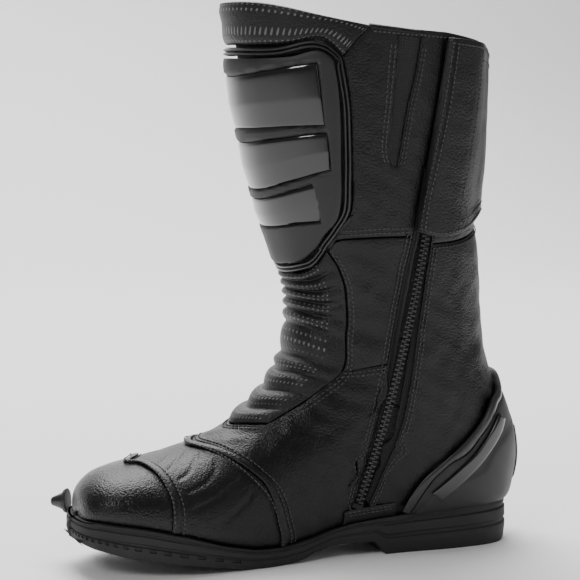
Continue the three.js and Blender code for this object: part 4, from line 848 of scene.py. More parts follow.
def cuffs():
    front = joined(moved(RIM_SIDE, 0, LAYER), moved(COLLAR_REAR, 0, HALF), 0.8)
    # The inner cuff comes in a front and a rear part, with the stretch insert's slot between them.
    foot, head = moved(CUFF_FOOT, HALF, 0), straight(COLLAR_REAR(1.0), CUFF_SEAM(1.0))
    rear = joined(ZIP_FRONT_UPPER, moved(CUFF_SEAM, 0, -HALF), 0.38)
    whole = region(foot, head, front, rear)

    def cut_out(s, t, vg):
        """Sinks the leather under the stretch insert."""
        v, g = vg[:, 0], np.abs(vg[:, 1])
        k = np.linspace(0, 1, 200)
        left, right = SLOT_LEFT(k), SLOT_RIGHT(k)
        inside = np.minimum(g - np.interp(v, left[:, 0], left[:, 1]),
                            np.interp(v, right[:, 0], right[:, 1]) - g)
        inside = np.where(v > left[0, 0], inside, -1)
        return -1.3 * np.clip(inside * 220 + 0.5, 0, 1)
    panel("inner_cuff_leather", flipped(whole), LEATHER, "shaft", ["cuff_panel_medial"], size=1.5,
          lift=cut_out,
          crease=0.16)
    left, right = moved(SLOT_LEFT, 0, HALF), moved(SLOT_RIGHT, 0, -HALF)
    insert = region(straight(left(0.04), right(0.04)), straight(left(SLOT_TOP), right(SLOT_TOP)),
                    stretch(left, 0.04, SLOT_TOP), stretch(right, 0.04, SLOT_TOP))
    panel("stretch_insert_knit", flipped(insert), STRETCH_CLOTH, "shaft", ["stretch_insert"], size=0.9,
          lift=-0.35,
          thickness=0.8, crown=0.4, round_edge=0)
    for k, inset in enumerate((1.8, 4.4)):
        stitch_row(f"slot_front_{k + 1}", mirrored(moved(SLOT_LEFT, 0, -inset)), "shaft", start=0.1,
                   end=0.84)
        stitch_row(f"slot_rear_{k + 1}", mirrored(moved(SLOT_RIGHT, 0, inset)), "shaft", start=0.1,
                   end=0.84)
    edge = stretch(SLOT_RIGHT, 0.03, SLOT_TOP)
    k = np.linspace(0, 1, 70)
    cord_along("slot_piping", lifted(mirrored(moved(edge, 0, 0.3))(k), 0.4), 0.75, SMOOTH_LEATHER, "shaft")
    outer_foot = joined(CUFF_FOOT, OUTER_QUARTER_TOP, 5 / 14)
    outer = region(moved(outer_foot, HALF, 0), straight(COLLAR_REAR(1.0), BACK_HIGH(1.0)), front,
                   moved(BACK_HIGH, 0, -HALF))
    panel("outer_cuff_leather", outer, LEATHER, "shaft", ["cuff_panel_lateral"], size=2.2, crease=0.16)
    behind = region(moved(QUARTER_TOP, HALF, 0), straight(CUFF_SEAM(1.0), BACK_HIGH(1.0)),
                    joined(ZIP_REAR_UPPER, moved(CUFF_SEAM, 0, HALF), 0.38), moved(BACK_HIGH, 0, -HALF))
    panel("rear_cuff_leather", flipped(behind), LEATHER, "shaft", ["rear_cuff_panel"], size=2.2,
          crease=0.16)
    for k, inset in enumerate((2.4, 5.0)):
        stitch_row(f"inner_cuff_foot_{k + 1}", mirrored(moved(CUFF_FOOT, inset, 0)), "shaft", start=0.04,
                   end=0.97)
        stitch_row(f"outer_cuff_foot_{k + 1}", moved(outer_foot, inset, 0), "shaft", start=0.04, end=0.98)
        stitch_row(f"cuff_back_inner_{k + 1}", mirrored(moved(BACK_HIGH, 0, -inset)), "shaft", start=0.02,
                   end=0.98)
        stitch_row(f"cuff_back_outer_{k + 1}", moved(BACK_HIGH, 0, -inset), "shaft", start=0.02, end=0.98)
        stitch_row(f"outer_plate_edge_{k + 1}", moved(RIM_SIDE, 0, 2.4 + inset), "shaft", start=0.04,
                   end=0.96)
    stitch_row("inner_cuff_top", mirrored(moved(head, -3.5, 0)), "shaft", start=0.03, end=0.97)
    stitch_row("outer_cuff_top", moved(straight(COLLAR_REAR(1.0), BACK_HIGH(1.0)), -3.5, 0), "shaft",
               start=0.02,
               end=0.98)


def padded_ring(name, area, how, nodes, thickness, swell, columns, material):
    """A stuffed strip with a round top edge: the sheet is wrapped all the way round its section."""
    turns = 36
    bm, s, a = grid(columns, turns)
    angle = 2 * math.pi * a
    t = 0.5 - 0.5 * np.sign(np.cos(angle)) * np.abs(np.cos(angle)) ** 0.45
    side = np.sign(np.sin(angle)) * np.abs(np.sin(angle)) ** 0.5
    lift = np.where(side > 0, swell * side * (0.72 + 0.28 * np.abs(np.sin(2.2 * math.pi * t))),
                    thickness * side)
    vg = area(s, t)
    base = face_point(vg[:, 0], vg[:, 1])
    place(bm, lifted(vg, lift + wrinkles(base, 7, 0.12) * (side > 0)))
    width, length = spans(area)
    lay_out(bm, s, a, width, 2 * length)
    bmesh.ops.remove_doubles(bm, verts=bm.verts, dist=0.00002)
    bmesh.ops.holes_fill(bm, edges=[e for e in bm.edges if e.is_boundary], sides=0)
    bmesh.ops.recalc_face_normals(bm, faces=bm.faces)
    piece = object_of(bm, name, material)
    punched = np.ones(len(piece.data.vertices))
    mark(piece, "punched", punched)
    mark(piece, "edge", np.zeros(len(punched)))
    settle(piece, how)
    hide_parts(*nodes)
    return piece


def collar():
    top = seam([(TOP, -0.46), (23.97, -0.36), (24.06, -0.2), (24.06, 0), (24.06, 0.2), (23.97, 0.36),
                (TOP, 0.46)])
    area = region(moved(RIM_TOP, 1.5, 0), top, mirrored(COLLAR_REAR), COLLAR_REAR)
    padded_ring("collar_padding", area, "shaft", ["collar"], 3.2, 3.0, 110, PUNCHED_LEATHER)

# ---- shin armour ----


def plate_outline(grow):
    side, foot, top = moved(RIM_SIDE, 0, grow), moved(PLATE_FOOT, -grow, 0), moved(RIM_TOP, grow, 0)
    up = (0.06, 0.2, 0.35, 0.5, 0.65, 0.8, 0.94)
    around = [foot(k) for k in (0.04, 0.25, 0.5, 0.75, 0.96)]
    around += [side(k) for k in up]
    around += [top(k) for k in (0.96, 0.85, 0.7, 0.5, 0.3, 0.15, 0.04)]
    around += [mirrored(side)(k) for k in reversed(up)]
    return seam(around + [around[0]])


WINDOWS = {
    "upper": ([(22.3, -0.33), (22.1, 0), (22.3, 0.33)], [(23.35, -0.325), (23.1, 0), (23.35, 0.325)]),
    "middle": ([(21.4, -0.33), (20.75, 0), (21.4, 0.33)], [(22.15, -0.335), (21.8, 0), (22.15, 0.335)]),
    "lower": ([(20.15, -0.27), (19.7, 0), (20.15, 0.27)], [(21.2, -0.33), (20.5, 0), (21.2, 0.33)]),
}
PLATE_TOP = LAYER + 2.4


def shin_armour():
    outer, inner = plate_outline(-LAYER), plate_outline(-5.5)

    def piped(s, t, vg):
        """Two rounded ridges side by side, stepping down outwards."""
        ridges = np.abs(np.sin(2 * math.pi * np.clip(t, 0, 1))) ** 0.6
        return LAYER + 1.4 + 2.6 * ridges * (1 - 0.3 * t)
    panel("shin_rim_piping", lambda s, t: inner(s) + (outer(s) - inner(s)) * t[..., None], RIM_PLASTIC,
          "shaft",
          ["shin_plate_rim"], size=0.8, lift=piped, thickness=1.3, crown=0.0, round_edge=0.25,
          ring=True)
    in_corner = 0.06
    side, foot, top = moved(RIM_SIDE, 0, -7), moved(PLATE_FOOT, 7, 0), moved(RIM_TOP, -7, 0)
    area = region(stretch(foot, in_corner, 1 - in_corner), stretch(top, in_corner, 1 - in_corner),
                  mirrored(stretch(side, in_corner, 1 - in_corner)),
                  stretch(side, in_corner, 1 - in_corner))
    lines = {label: [seam(edge)(np.linspace(0, 1, 80)) for edge in pair] for label, pair in WINDOWS.items()}

    def relief(s, t, vg):
        """Raised straps round the windows, which lie in shallow wells, and a soft keel down the front."""
        well = np.zeros(len(vg))
        for low, high in lines.values():
            inside = np.minimum(vg[:, 0] - np.interp(vg[:, 1], low[:, 1], low[:, 0]),
                                np.interp(vg[:, 1], high[:, 1], high[:, 0]) - vg[:, 0]) * 30
            across = (np.minimum(high[-1, 1], low[-1, 1]) - np.abs(vg[:, 1])) * 180
            well = np.maximum(well, np.clip(np.minimum(inside, across) / 1.2 + 1.0, 0, 1))
        keel = 0.8 * np.exp(-(vg[:, 1] / 0.05) ** 2)
        return PLATE_TOP + 2.4 * (1 - well) + keel * (1 - well)
    panel("shin_shield", area, PLATE_PLASTIC, "shaft", ["shin_plate"], size=1.15, lift=relief,
          thickness=2.2, crown=1.2,
          roll=1.5, round_edge=0.5)
    for label, (low, high) in WINDOWS.items():
        def creased(s, t, vg):
            """A sharp crease across each window, so its two halves catch the light apart."""
            return PLATE_TOP + 1.5 + 0.9 * (1 - np.abs(2 * t - 1)) + 0.5 * (1 - np.abs(2 * s - 1))
        panel(f"shin_window_{label}_shell", region(seam(low), seam(high)), GLOSS_PLASTIC, "shaft",
              [f"shin_window_{label}"], size=1.2, lift=creased, thickness=1.2, crown=0.5, roll=0.8,
              round_edge=0.3)

# ---- heel armour ----


CUP_SIDE = dense_side([(60.5, 30), (64.5, 39), (73, 50), (86, 60.5), (101, 73), (114, 86.5), (123, 99)])
CUP_BACK = seam([CUP_SIDE[-1], (17.15, 0.9), (17.3, 1)])(np.linspace(0.1, 1, 10))
CUP_BORDER = seam(CUP_SIDE + [tuple(p) for p in CUP_BACK])
HEEL_GAP = 1.2
CUP_END = last_feather_station(2.4)


def across_back(edge):
    return joined(mirrored(edge), lambda t: edge(1 - np.asarray(t, float)) - (0, 2), 0.5)


def cup_foot(start):
    def foot(t):
        t = np.asarray(t, float)
        v = start + (CUP_END - start) * t
        return np.stack([v, np.where(t < 1, feather_girth(v, 2.4), 1.0)], -1)
    return across_back(foot)


def rim_border(inset):
    """The heel cup's front border, moved in by millimetres square to itself."""
    def border(t):
        t = np.asarray(t, float)
        vg = CUP_BORDER(t)
        v, g = vg[..., 0], vg[..., 1]
        ahead, behind = CUP_BORDER(np.minimum(t + 0.02, 1)), CUP_BORDER(np.maximum(t - 0.02, 0))
        along = face_point(ahead[..., 0], ahead[..., 1]) - face_point(behind[..., 0], behind[..., 1])
        along /= np.linalg.norm(along, axis=-1, keepdims=True)
        out = np.cross(face_normal(v, g), along)
        out *= np.where(out[..., 0:1] - out[..., 2:3] < 0, -1, 1)
        per_v = (face_point(v + 0.02, g) - face_point(v, g)) / 0.02
        per_g = (face_point(v, g + 0.01) - face_point(v, g - 0.01)) / 0.02
        return np.stack([v + inset * np.sum(out * per_v, -1) / np.sum(per_v**2, -1),
                         g + inset * np.sum(out * per_g, -1) / np.sum(per_g**2, -1)], -1)
    return border


def heel_armour():
    rim = region(across_back(rim_border(4.3)), across_back(rim_border(0)))
    panel("heel_rim_moulding", rim, RIM_PLASTIC, "foot", ["heel_cup_rim"], size=1.0, thickness=3.0,
          crown=1.1, roll=1.4,
          lift=HEEL_GAP + 3.6, round_edge=0.4)
    cup = region(cup_foot(11.5), across_back(rim_border(5.0)))

    def stepped(s, t, vg):
        """A shallow step that follows the rim, with a raised spine down the back."""
        step = 0.9 / (1 + np.exp((t - 0.72) * 60))
        return HEEL_GAP + 2.5 + step + 0.5 * np.exp(-((s - 0.5) / 0.03) ** 2)
    panel("heel_cup_shell", cup, PLATE_PLASTIC, "foot", ["heel_cup"], size=1.5, lift=stepped,
          thickness=2.4, crown=0.6,
          roll=1.5)
    low = side_seam([(86, 36), (99, 46), (116, 61), (128, 75), (132, 83)])
    high = side_seam([(79, 41), (93, 52), (108, 65), (120, 79), (126, 88)])
    for label, side in SIDES:
        area = region(low, high)
        strip = (lambda s, t, area=area: area(s, t) * (1, -1)) if side < 0 else area
        panel(f"heel_gloss_strip_{label}", strip, GLOSS_PLASTIC, "foot", [f"heel_inlay_{label}"],
              size=0.9, lift=5.5,
              thickness=1.0, crown=0.5, roll=0.8, round_edge=0.3)
    guard = region(seam([(13.9, 0.9), (13.7, 1), (13.9, 1.1)]),
                   seam([(15.6, 0.91), (15.8, 1), (15.6, 1.09)]))

    def domed(s, t, vg):
        return 5.6 + 2.0 * np.sin(math.pi * s) * np.sin(math.pi * t)
    panel("heel_guard_shell", guard, GLOSS_PLASTIC, "foot", ["heel_guard"], size=0.9, lift=domed,
          thickness=1.2,
          crown=0.4, roll=0.8, round_edge=0.3)

# ---- lining, footbed and the top binding ----

LINING_OUT = -4.6
LOW_SPLIT = seam([(16.6, -1), (15.6, -0.8), (14.2, -0.6), (12.8, -0.42), (11.4, -0.28), (10.1, -0.14),
                  (9.3, 0), (10.1, 0.14), (11.4, 0.28), (12.8, 0.42), (14.2, 0.6), (15.6, 0.8), (16.6, 1)])
HIGH_SPLIT = seam([(18.7, -1), (18.2, -0.8), (17.4, -0.6), (16.4, -0.42), (15.2, -0.28), (14, -0.14),
                   (13.3, 0), (14, 0.14), (15.2, 0.28), (16.4, 0.42), (17.4, 0.6), (18.2, 0.8), (18.7, 1)])


def lining():
    def level(v):
        return straight((v, -1), (v, 1))
    parts = (("lining_foot", level(0.3), moved(LOW_SPLIT, -HALF, 0), "foot"),
             ("lining_ankle", moved(LOW_SPLIT, HALF, 0), moved(HIGH_SPLIT, -HALF, 0), "ankle"),
             ("lining_shaft", moved(HIGH_SPLIT, HALF, 0), level(23.7), "shaft"))
    for name, low, high, how in parts:
        panel(f"{name}_mesh", lambda s, t, low=low, high=high: low(s) + (high(s) - low(s)) * t[..., None],
              LINING_CLOTH, how, [name], size=3.2, lift=LINING_OUT, thickness=1.2, crown=0.4, roll=3,
              round_edge=0,
              ring=True)
    g = np.linspace(0.462, 2 - 0.462, 160)
    rim = np.stack([np.full(160, TOP - 0.02), np.where(g > 1, g - 2, g)], -1)
    cord_along("top_binding", lifted(rim, -2.2), 2.1, SMOOTH_LEATHER, "shaft", sides=16)


def bottom_height(x):
    rows = SECTIONS[1:14]
    return np.interp(x, rows[:, 2], rows[:, 3])


def footbed():
    low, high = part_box("footbed")
    bm, s, t = grid(26, 90)
    x = (low.x + (high.x - low.x) * t) / MM
    end = np.clip(np.minimum(t, 1 - t) * 9, 0, 1) ** 0.5
    half = high.y / MM * (0.8 + 0.2 * np.cos(5.2 * (t - 0.25))) * end
    y = half * (2 * s - 1)
    z = bottom_height(x + PLAN_MIDDLE[0]) + 10.6 + 0.5 * (2 * s - 1) ** 2
    place(bm, np.stack([x, y, z], 1))
    face_outwards(bm, np.tile([0, 0, 1], (len(s), 1)))
    lay_out(bm, s, t, 60, 240)
    piece = object_of(bm, "footbed_foam", FOAM)
    wall = piece.modifiers.new("wall", "SOLIDIFY")
    wall.thickness = 3 * MM
    settle(piece, "foot")
    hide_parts("footbed")

# ---- zip ----


ZIP_FOOT = np.array([30, -38.8, 36]) - PLAN_MIDDLE
ZIP_HEAD = np.array([76, -51.2, 252]) - PLAN_MIDDLE
ZIP_BOW = 6.6
CHORD = ZIP_HEAD - ZIP_FOOT
UP = CHORD / np.linalg.norm(CHORD)
OUT = np.array([0, -1, 0]) + UP * UP[1]
OUT /= np.linalg.norm(OUT)
ACROSS = np.cross(UP, OUT)
TRACK_RADIUS = CHORD @ CHORD / (8 * ZIP_BOW) + ZIP_BOW / 2
TRACK_CENTRE = (ZIP_FOOT + ZIP_HEAD) / 2 + ACROSS * (ZIP_BOW - TRACK_RADIUS)
TRACK_LENGTH = 2 * TRACK_RADIUS * math.asin(np.linalg.norm(CHORD) / (2 * TRACK_RADIUS))
SLIDER_TOP = TRACK_LENGTH - 6
TOOTH_PITCH = 1.55
PULL_THICK = 1.4


def on_track(up, out=0.0, across=0.0):
    """A frame on the zip: x towards the heel, y outwards, z up the track."""
    angle = (up - TRACK_LENGTH / 2) / TRACK_RADIUS
    radial = ACROSS * math.cos(angle) + UP * math.sin(angle)
    along = UP * math.cos(angle) - ACROSS * math.sin(angle)
    origin = TRACK_CENTRE + radial * (TRACK_RADIUS + across) + OUT * out
    turn = Matrix((radial, OUT, along)).transposed().to_4x4()
    return Matrix.Translation(Vector(origin) * MM) @ turn


def block(bm, frame_at, size, centre=(0, 0, 0)):
    """A small block in a frame, its sizes in millimetres."""
    scale = Matrix.Diagonal((*(k * MM for k in size), 1))
    middle = Matrix.Translation(Vector(centre) * MM)
    return bmesh.ops.create_cube(bm, size=1, matrix=frame_at @ middle @ scale)


def zip_parts():
    bm = bmesh.new()
    for k in range(int(TRACK_LENGTH / TOOTH_PITCH)):
        side = -1 if k % 2 else 1
        at = on_track(0.8 + k * TOOTH_PITCH)
        block(bm, at, (3.1, 1.5, 0.95), (side * 0.95, 0.35, 0))
        block(bm, at, (1.2, 2.0, 1.25), (side * 2.1, 0.15, 0))
    chain = object_of(bm, "zip_teeth", ZIP_TEETH, smooth=False)
    settle(chain, "ankle")
    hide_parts("zip_chain")
    for label, border, upper, towards in (("front", ZIP_FRONT, ZIP_FRONT_UPPER, -1),
                                          ("rear", ZIP_REAR, ZIP_REAR_UPPER, 1)):
        whole = joined(stretch(border, 0.05, 1), upper, 0.8)
        inner, outer = moved(whole, 0, -towards * 4.6), moved(whole, 0, towards * 3)
        panel(f"zip_tape_{label}_weave", lambda s, t, a=inner,
              b=outer: (a(t) + (b(t) - a(t)) * s[..., None]) * (1, -1),
              ZIP_TAPE, "ankle", [f"zip_tape_{label}"], size=1.8, lift=-2.0, thickness=0.7, crown=0,
              round_edge=0)
        k = np.linspace(0.02, 0.98, 120)
        edge = mirrored(joined(border, upper, 0.8))
        cord_along(f"zip_welt_{label}", lifted(edge(k), -0.55), 0.6, SMOOTH_LEATHER, "ankle", sides=8)
    slider = bmesh.new()
    at = on_track(SLIDER_TOP - 6.5)
    block(slider, at, (8.6, 1.3, 12.5), (0, 2.25, 0))
    for side in (-1, 1):
        block(slider, at, (1.2, 2.6, 11.5), (side * 3.8, 1.0, 0))
    block(slider, at, (2.2, 1.7, 7.5), (0, 3.4, 0.4))
    bmesh.ops.bevel(slider, geom=slider.edges[:], offset=0.35 * MM, segments=2, affect="EDGES",
                    profile=0.5, material=-1)
    slider_piece = object_of(slider, "zip_slider_body", ENAMEL)
    settle(slider_piece, "slider")
    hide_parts("zip_slider")
    pull = bmesh.new()
    block(pull, on_track(SLIDER_TOP - 17), (6.0, PULL_THICK, 22), (0, 3.95, 0))
    corners = [e for e in pull.edges if abs((e.verts[0].co - e.verts[1].co).length - PULL_THICK * MM) < 1e-6]
    bmesh.ops.bevel(pull, geom=corners, offset=1.8 * MM, segments=4, affect="EDGES", profile=0.5,
                    material=-1)
    faces = sorted(pull.faces, key=lambda f: f.calc_area())[-2:]
    bmesh.ops.inset_individual(pull, faces=faces, thickness=1.1 * MM, depth=-0.35 * MM)
    pull_piece = object_of(pull, "zip_pull_tab", ENAMEL)
    smooth_by_angle(pull_piece)
    settle(pull_piece, "pull")
    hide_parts("zip_pull")

# ---- flap ----


FLAP_FOOT = seam([(20.33, 0.535), (20.3, 0.6), (20.55, 0.72), (20.9, 0.85), (20.95, 0.965)])
FLAP_HEAD = seam([(23.9, 0.645), (23.9, 0.75), (23.85, 0.85), (23.7, 0.965)])
FLAP_THICK, FLAP_AT_HINGE = 1.8, 1.5
FLAP_RISE = np.array([(0, 1.5), (0.07, 6.8), (0.36, 6.8), (0.6, 3.0), (1, 3.0)])
FLAP_AREA = region(FLAP_FOOT, FLAP_HEAD)


def flap_face(s, t, lift):
    """The flap: hinged at its front, arched over the zip, lying flat over the touch tape."""
    vg = FLAP_AREA(s, t) * (1, -1)
    lift = np.broadcast_to(lift, s.shape)
    smooth = np.mean([row(FLAP_RISE, np.clip(s + k, 0, 1)) for k in (-0.03, -0.01, 0.01, 0.03)], 0)
    rise = np.where(s < 0.04, row(FLAP_RISE, s), smooth)
    on_face = lifted(vg, rise + lift)
    edge = FLAP_AREA(np.zeros_like(s), t) * (1, -1)
    hinge_lift = FLAP_AT_HINGE + FLAP_THICK / 2
    foot, head = (lifted(curve(0.0) * (1, -1), hinge_lift) for curve in (FLAP_FOOT, FLAP_HEAD))
    hinge = foot + (head - foot) * t[..., None] + face_normal(vg[:, 0],
            vg[:, 1]) * (lift - FLAP_THICK / 2)[..., None]
    straightened = (hinge - lifted(edge, FLAP_AT_HINGE + lift)) * np.maximum(0, 1 - 14 * s)[..., None]
    return on_face + straightened


def flap():
    bm, s, t = grid(60, 110)
    from_edge = np.minimum(np.minimum(s, 1 - s) * 70, np.minimum(t, 1 - t) * 120)
    points = flap_face(s, t, FLAP_THICK - 0.5 + 0.5 * (1 - np.exp(-from_edge / 2)))
    vg = FLAP_AREA(s, t) * (1, -1)
    normal = face_normal(vg[:, 0], vg[:, 1])
    points = points + normal * (wrinkles(points, 11, 0.12) * np.clip(from_edge / 8, 0, 1))[..., None]
    place(bm, points)
    face_outwards(bm, normal)
    lay_out(bm, s, t, 70, 120)
    piece = object_of(bm, "flap_leather", LEATHER)
    mark(piece, "edge", np.exp(-from_edge / 2.2))
    wall = piece.modifiers.new("wall", "SOLIDIFY")
    wall.thickness = FLAP_THICK * MM
    edge = piece.modifiers.new("edge", "BEVEL")
    edge.width, edge.segments, edge.limit_method = 0.45 * MM, 2, "ANGLE"
    settle(piece, "flap")
    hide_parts("flap")
    k = np.linspace(0.03, 0.97, 200)
    one = np.ones(200)
    lines = {"hinge_1": (0.045 * one, k), "hinge_2": (0.085 * one, k), "end": (0.955 * one, k),
             "end_2": (0.915 * one, k),
             "foot": (k, 0.025 * one), "head": (k, 0.975 * one), "patch_front": (0.4 * one, k),
             "patch_foot": (0.4 + 0.5 * k, 0.08 * one), "patch_head": (0.4 + 0.5 * k, 0.92 * one)}
    for label, (across, up) in lines.items():
        stitch_line(f"flap_stitch_{label}", flap_face(across, up, FLAP_THICK + 0.02), "flap")

    def patch(s, t):
        return FLAP_AREA(0.62 + 0.32 * s, 0.12 + 0.76 * t) * (1, -1)
    panel("loop_tape", patch, TOUCH_TAPE, "shaft", ["loop_patch"], size=2.5, lift=1.3, thickness=0.8,
          crown=0.1,
          round_edge=0)
    panel("hook_tape", patch, TOUCH_TAPE, "flap", ["hook_patch"], size=2.5, lift=2.5, thickness=0.8,
          crown=0.1,
          round_edge=0)

# ---- sole ----


HEEL_END = last_feather_station()


def tread_height(x):
    at = x + PLAN_MIDDLE[0]
    block_height = np.where(at > HEEL_BACK, ((at - HEEL_BACK) / 20) ** 2 * 8, 0)
    arch = row(TREAD, np.minimum(at, HEEL_FRONT))
    share = np.clip((at - HEEL_FRONT + 0.8) / 1.6, 0, 1)
    return arch * (1 - share) + block_height * share


# From the tread up the side wall, over the rim and down to the floor inside: how far outside the feather
# line, and how high as a share of the way from tread to rim. Share None is the floor under the foot.
SOLE_RINGS = ((3.0, 0.0), (3.6, 0.05), (4.4, 0.3), (4.4, 0.42), (3.5, 0.46), (3.5, 0.52), (4.3, 0.56),
              (4.2, 0.78),
              (3.3, 0.82), (3.3, 0.86), (3.9, 0.9), (3.4, 1.0), (1.0, 1.0), (1.0, None))
FLOOR_DROP = 2.8
SLOT_RING = 2
LUG_EDGE, LUG_DEPTH = 0.75, 1.9


def outsole():
    columns, rows = 10, 84
    bm, s, t = grid(columns, rows)
    across = bm.verts.layers.float.new("across")
    along = bm.verts.layers.float.new("along")
    level = bm.verts.layers.int.new("level")
    for vert, a, b in zip(bm.verts, s, t):
        vert[across], vert[along], vert[level] = a, b, 0
    k = np.linspace(0, 1, rows + 1)
    v = 0.3 + (HEEL_END - 0.3) * (0.5 - 0.5 * np.cos(math.pi * k))
    sides = [face_point(v, side * feather_girth(v)) for side in (-1, 1)]

    def ring(distance):
        """Both outlines of the sole, grown by a distance."""
        grown = []
        for points, way in zip(sides, (1, -1)):
            tangent = np.gradient(points[:, :2], axis=0)
            tangent /= np.linalg.norm(tangent, axis=1, keepdims=True)
            out = points[:, :2].copy()
            out[:, 0] += way * tangent[:, 1] * distance
            out[:, 1] -= way * tangent[:, 0] * distance
            grown.append(out)
        return grown

    def set_ring(verts, number):
        distance, share = SOLE_RINGS[number]
        low_side, high_side = ring(distance)
        for vert in verts:
            i = round(vert[along] * rows)
            a = vert[across]
            ribbed = 0.22 * (i % 2) if number in (6, 7) else 0
            x, y = low_side[i] * (1 - a) + high_side[i] * a
            y += ribbed * (1 if a > 0.5 else -1) if a in (0.0, 1.0) else 0
            if i in (0, rows):
                x += (-1 if i == 0 else 1) * math.sin(math.pi * a) * 1.2
            nominal = (sides[0][i, 0] + sides[1][i, 0]) / 2
            top = row(FEATHER, nominal + PLAN_MIDDLE[0])
            tread = float(tread_height(nominal))
            z = bottom_height(nominal) - FLOOR_DROP if share is None else tread + (top - tread) * share
            vert.co = Vector((x, y, z)) * MM
            vert[level] = number

    set_ring(bm.verts, 0)
    lugs = list(bm.faces)
    grooves = [vert for vert in bm.verts if not vert.is_boundary]
    lid = list(bm.faces)
    for number in range(1, len(SOLE_RINGS)):
        made = bmesh.ops.extrude_face_region(bm, geom=lid)["geom"]
        set_ring([g for g in made if isinstance(g, bmesh.types.BMVert)], number)
        lid = [g for g in made if isinstance(g, bmesh.types.BMFace)]
    bmesh.ops.recalc_face_normals(bm, faces=bm.faces)
    bmesh.ops.inset_individual(bm, faces=lugs, thickness=LUG_EDGE * MM, use_even_offset=True)
    for vert in grooves:
        vert.co.z += LUG_DEPTH * MM
    slots = []
    for face in bm.faces:
        levels = {vert[level] for vert in face.verts}
        middle = face.calc_center_median() / MM
        if levels == {SLOT_RING, SLOT_RING + 1} and middle.x < -55:
            if round(face.verts[0][along] * rows) % 2 == 0 and len({v[along] for v in face.verts}) == 2:
                slots.append(face)
    bmesh.ops.inset_individual(bm, faces=slots, thickness=0.25 * MM, depth=-0.9 * MM)
    piece = object_of(bm, "moulded_outsole", RUBBER)
    smooth_by_angle(piece, 32)
    settle(piece, "foot")
    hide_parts("outsole")

# ---- toe slider ----


def turned_part(name, rows, seat, out, material, node_name):
    """A turned part on the toe: its half section spun about the normal there."""
    bm = bmesh.new()
    verts = [bm.verts.new((r * MM, 0, h * MM)) for r, h in rows]
    edges = [bm.edges.new(pair) for pair in zip(verts, verts[1:])]
    bmesh.ops.spin(bm, geom=verts + edges, cent=(0, 0, 0), axis=(0, 0, 1), angle=2 * math.pi, steps=48,
                   use_merge=True)
    bmesh.ops.remove_doubles(bm, verts=bm.verts, dist=1e-6)
    bmesh.ops.recalc_face_normals(bm, faces=bm.faces)
    turn = Vector(out).to_track_quat("Z", "Y").to_matrix().to_4x4()
    bmesh.ops.transform(bm, matrix=Matrix.Translation(Vector(seat) * MM) @ turn, verts=bm.verts)
    piece = object_of(bm, name, material)
    smooth_by_angle(piece, 30)
    settle(piece, "foot")
    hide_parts(node_name)


def toe_slider():
    station, girth = 2.1, 0.54
    out, seat = face_normal(station, girth), face_point(station, girth)
    turned_part("toe_slider_seat", [(0, 4.1), (7.6, 4.1), (8, 4.4), (7.7, 5.6), (7.2, 6.4), (6.4, 6.5),
                                    (0, 6.5)],
                seat, out, PLATE_PLASTIC, "toe_slider_base")
    turned_part("toe_slider_peg", [(0, 6.8), (5.2, 6.8), (5.5, 7.1), (5.3, 8.2), (4.9, 9.0), (3.4, 12.6),
                                   (2.6, 14.6),
                                   (1.7, 15.2), (1.3, 14.7), (0, 14.6)],
                seat, out, RIM_PLASTIC, "toe_slider_knob")

# ---- the CAD pieces that stay ----


def finish_cad_pieces():
    finishes = {BOARD: ("heel_counter", "toe_puff", "insole_board", "forefoot_filler"), STEEL: ("shank",),
                FOAM: ("shin_pad", "ankle_pad_medial", "ankle_pad_lateral"),
                ENAMEL: ("zip_bottom_stop", "zip_top_stop")}
    for material, names in finishes.items():
        for name in names:
            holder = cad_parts[name]
            holder.data.materials.clear()
            holder.data.materials.append(material)

# ---- studio ----


FLOOR_REACH, SWEEP_START, SWEEP_RADIUS = 8, 1.4, 1.2


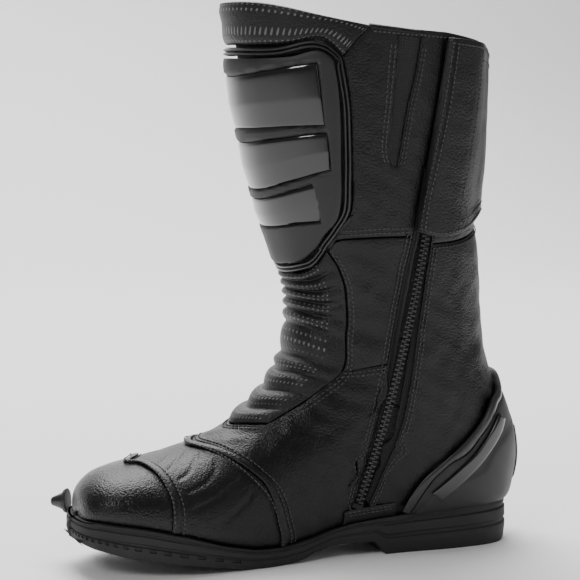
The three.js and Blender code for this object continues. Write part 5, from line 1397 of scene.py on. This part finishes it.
def studio():
    floor_bm = bmesh.new()
    bmesh.ops.create_grid(floor_bm, x_segments=1, y_segments=160, size=FLOOR_REACH)
    for vert in floor_bm.verts:
        past = max(0.0, vert.co.y - SWEEP_START)
        bend = min(past / SWEEP_RADIUS, math.pi / 2)
        vert.co.z = SWEEP_RADIUS * (1 - math.cos(bend)) + max(0.0, past - SWEEP_RADIUS * math.pi / 2)
        vert.co.y = min(vert.co.y, SWEEP_START) + SWEEP_RADIUS * math.sin(bend)
    white = new_material("white_seamless_paper", Roughness=0.9, Base_Color=linear("#fafafa"))[0]
    floor = object_of(floor_bm, "floor", white)
    world = bpy.data.worlds.new("studio_air")
    bpy.context.scene.world = world
    world.use_nodes = True
    background = world.node_tree.nodes["Background"]
    background.inputs["Color"].default_value = linear("#ffffff")
    background.inputs["Strength"].default_value = 0.22
    middle = Vector((0, 0, 0.17))
    lights = (("key", (-1.5, -1.3, 1.5), 0.6, 15), ("fill", (1.3, -1.6, 0.7), 0.7, 3),
              ("top", (0.1, 0.5, 2.1), 1.6, 44), ("rear", (0.6, 1.9, 1.3), 1.2, 8),
              ("back_wall", (0.0, 1.5, 2.4), 2.0, 68))
    for name, spot, size, power in lights:
        data = bpy.data.lights.new(name, "AREA")
        data.energy, data.size = power, size
        lamp = bpy.data.objects.new(name, data)
        lamp.location = spot
        lamp.rotation_euler = (Vector(spot) - middle).to_track_quat("Z", "Y").to_euler()
        bpy.context.scene.collection.objects.link(lamp)
    lens = bpy.data.cameras.new("camera")
    lens.lens, lens.sensor_width, lens.shift_x = 122.3, 36, -0.006
    camera = bpy.data.objects.new("camera", lens)
    camera.location = (-0.4315, -1.1838, 0.310)
    aim = Vector((-0.0006, 0.0002, 0.170))
    camera.rotation_euler = (camera.location - aim).to_track_quat("Z", "Y").to_euler()
    bpy.context.scene.collection.objects.link(camera)
    bpy.context.scene.camera = camera


studio()
toe_and_pad()
welt()
zip_foot_tab()
vamp()
rib_panel()
ankle_sides()
quarters()
cuffs()
collar()
shin_armour()
heel_armour()
lining()
footbed()
zip_parts()
flap()
outsole()
toe_slider()
finish_cad_pieces()
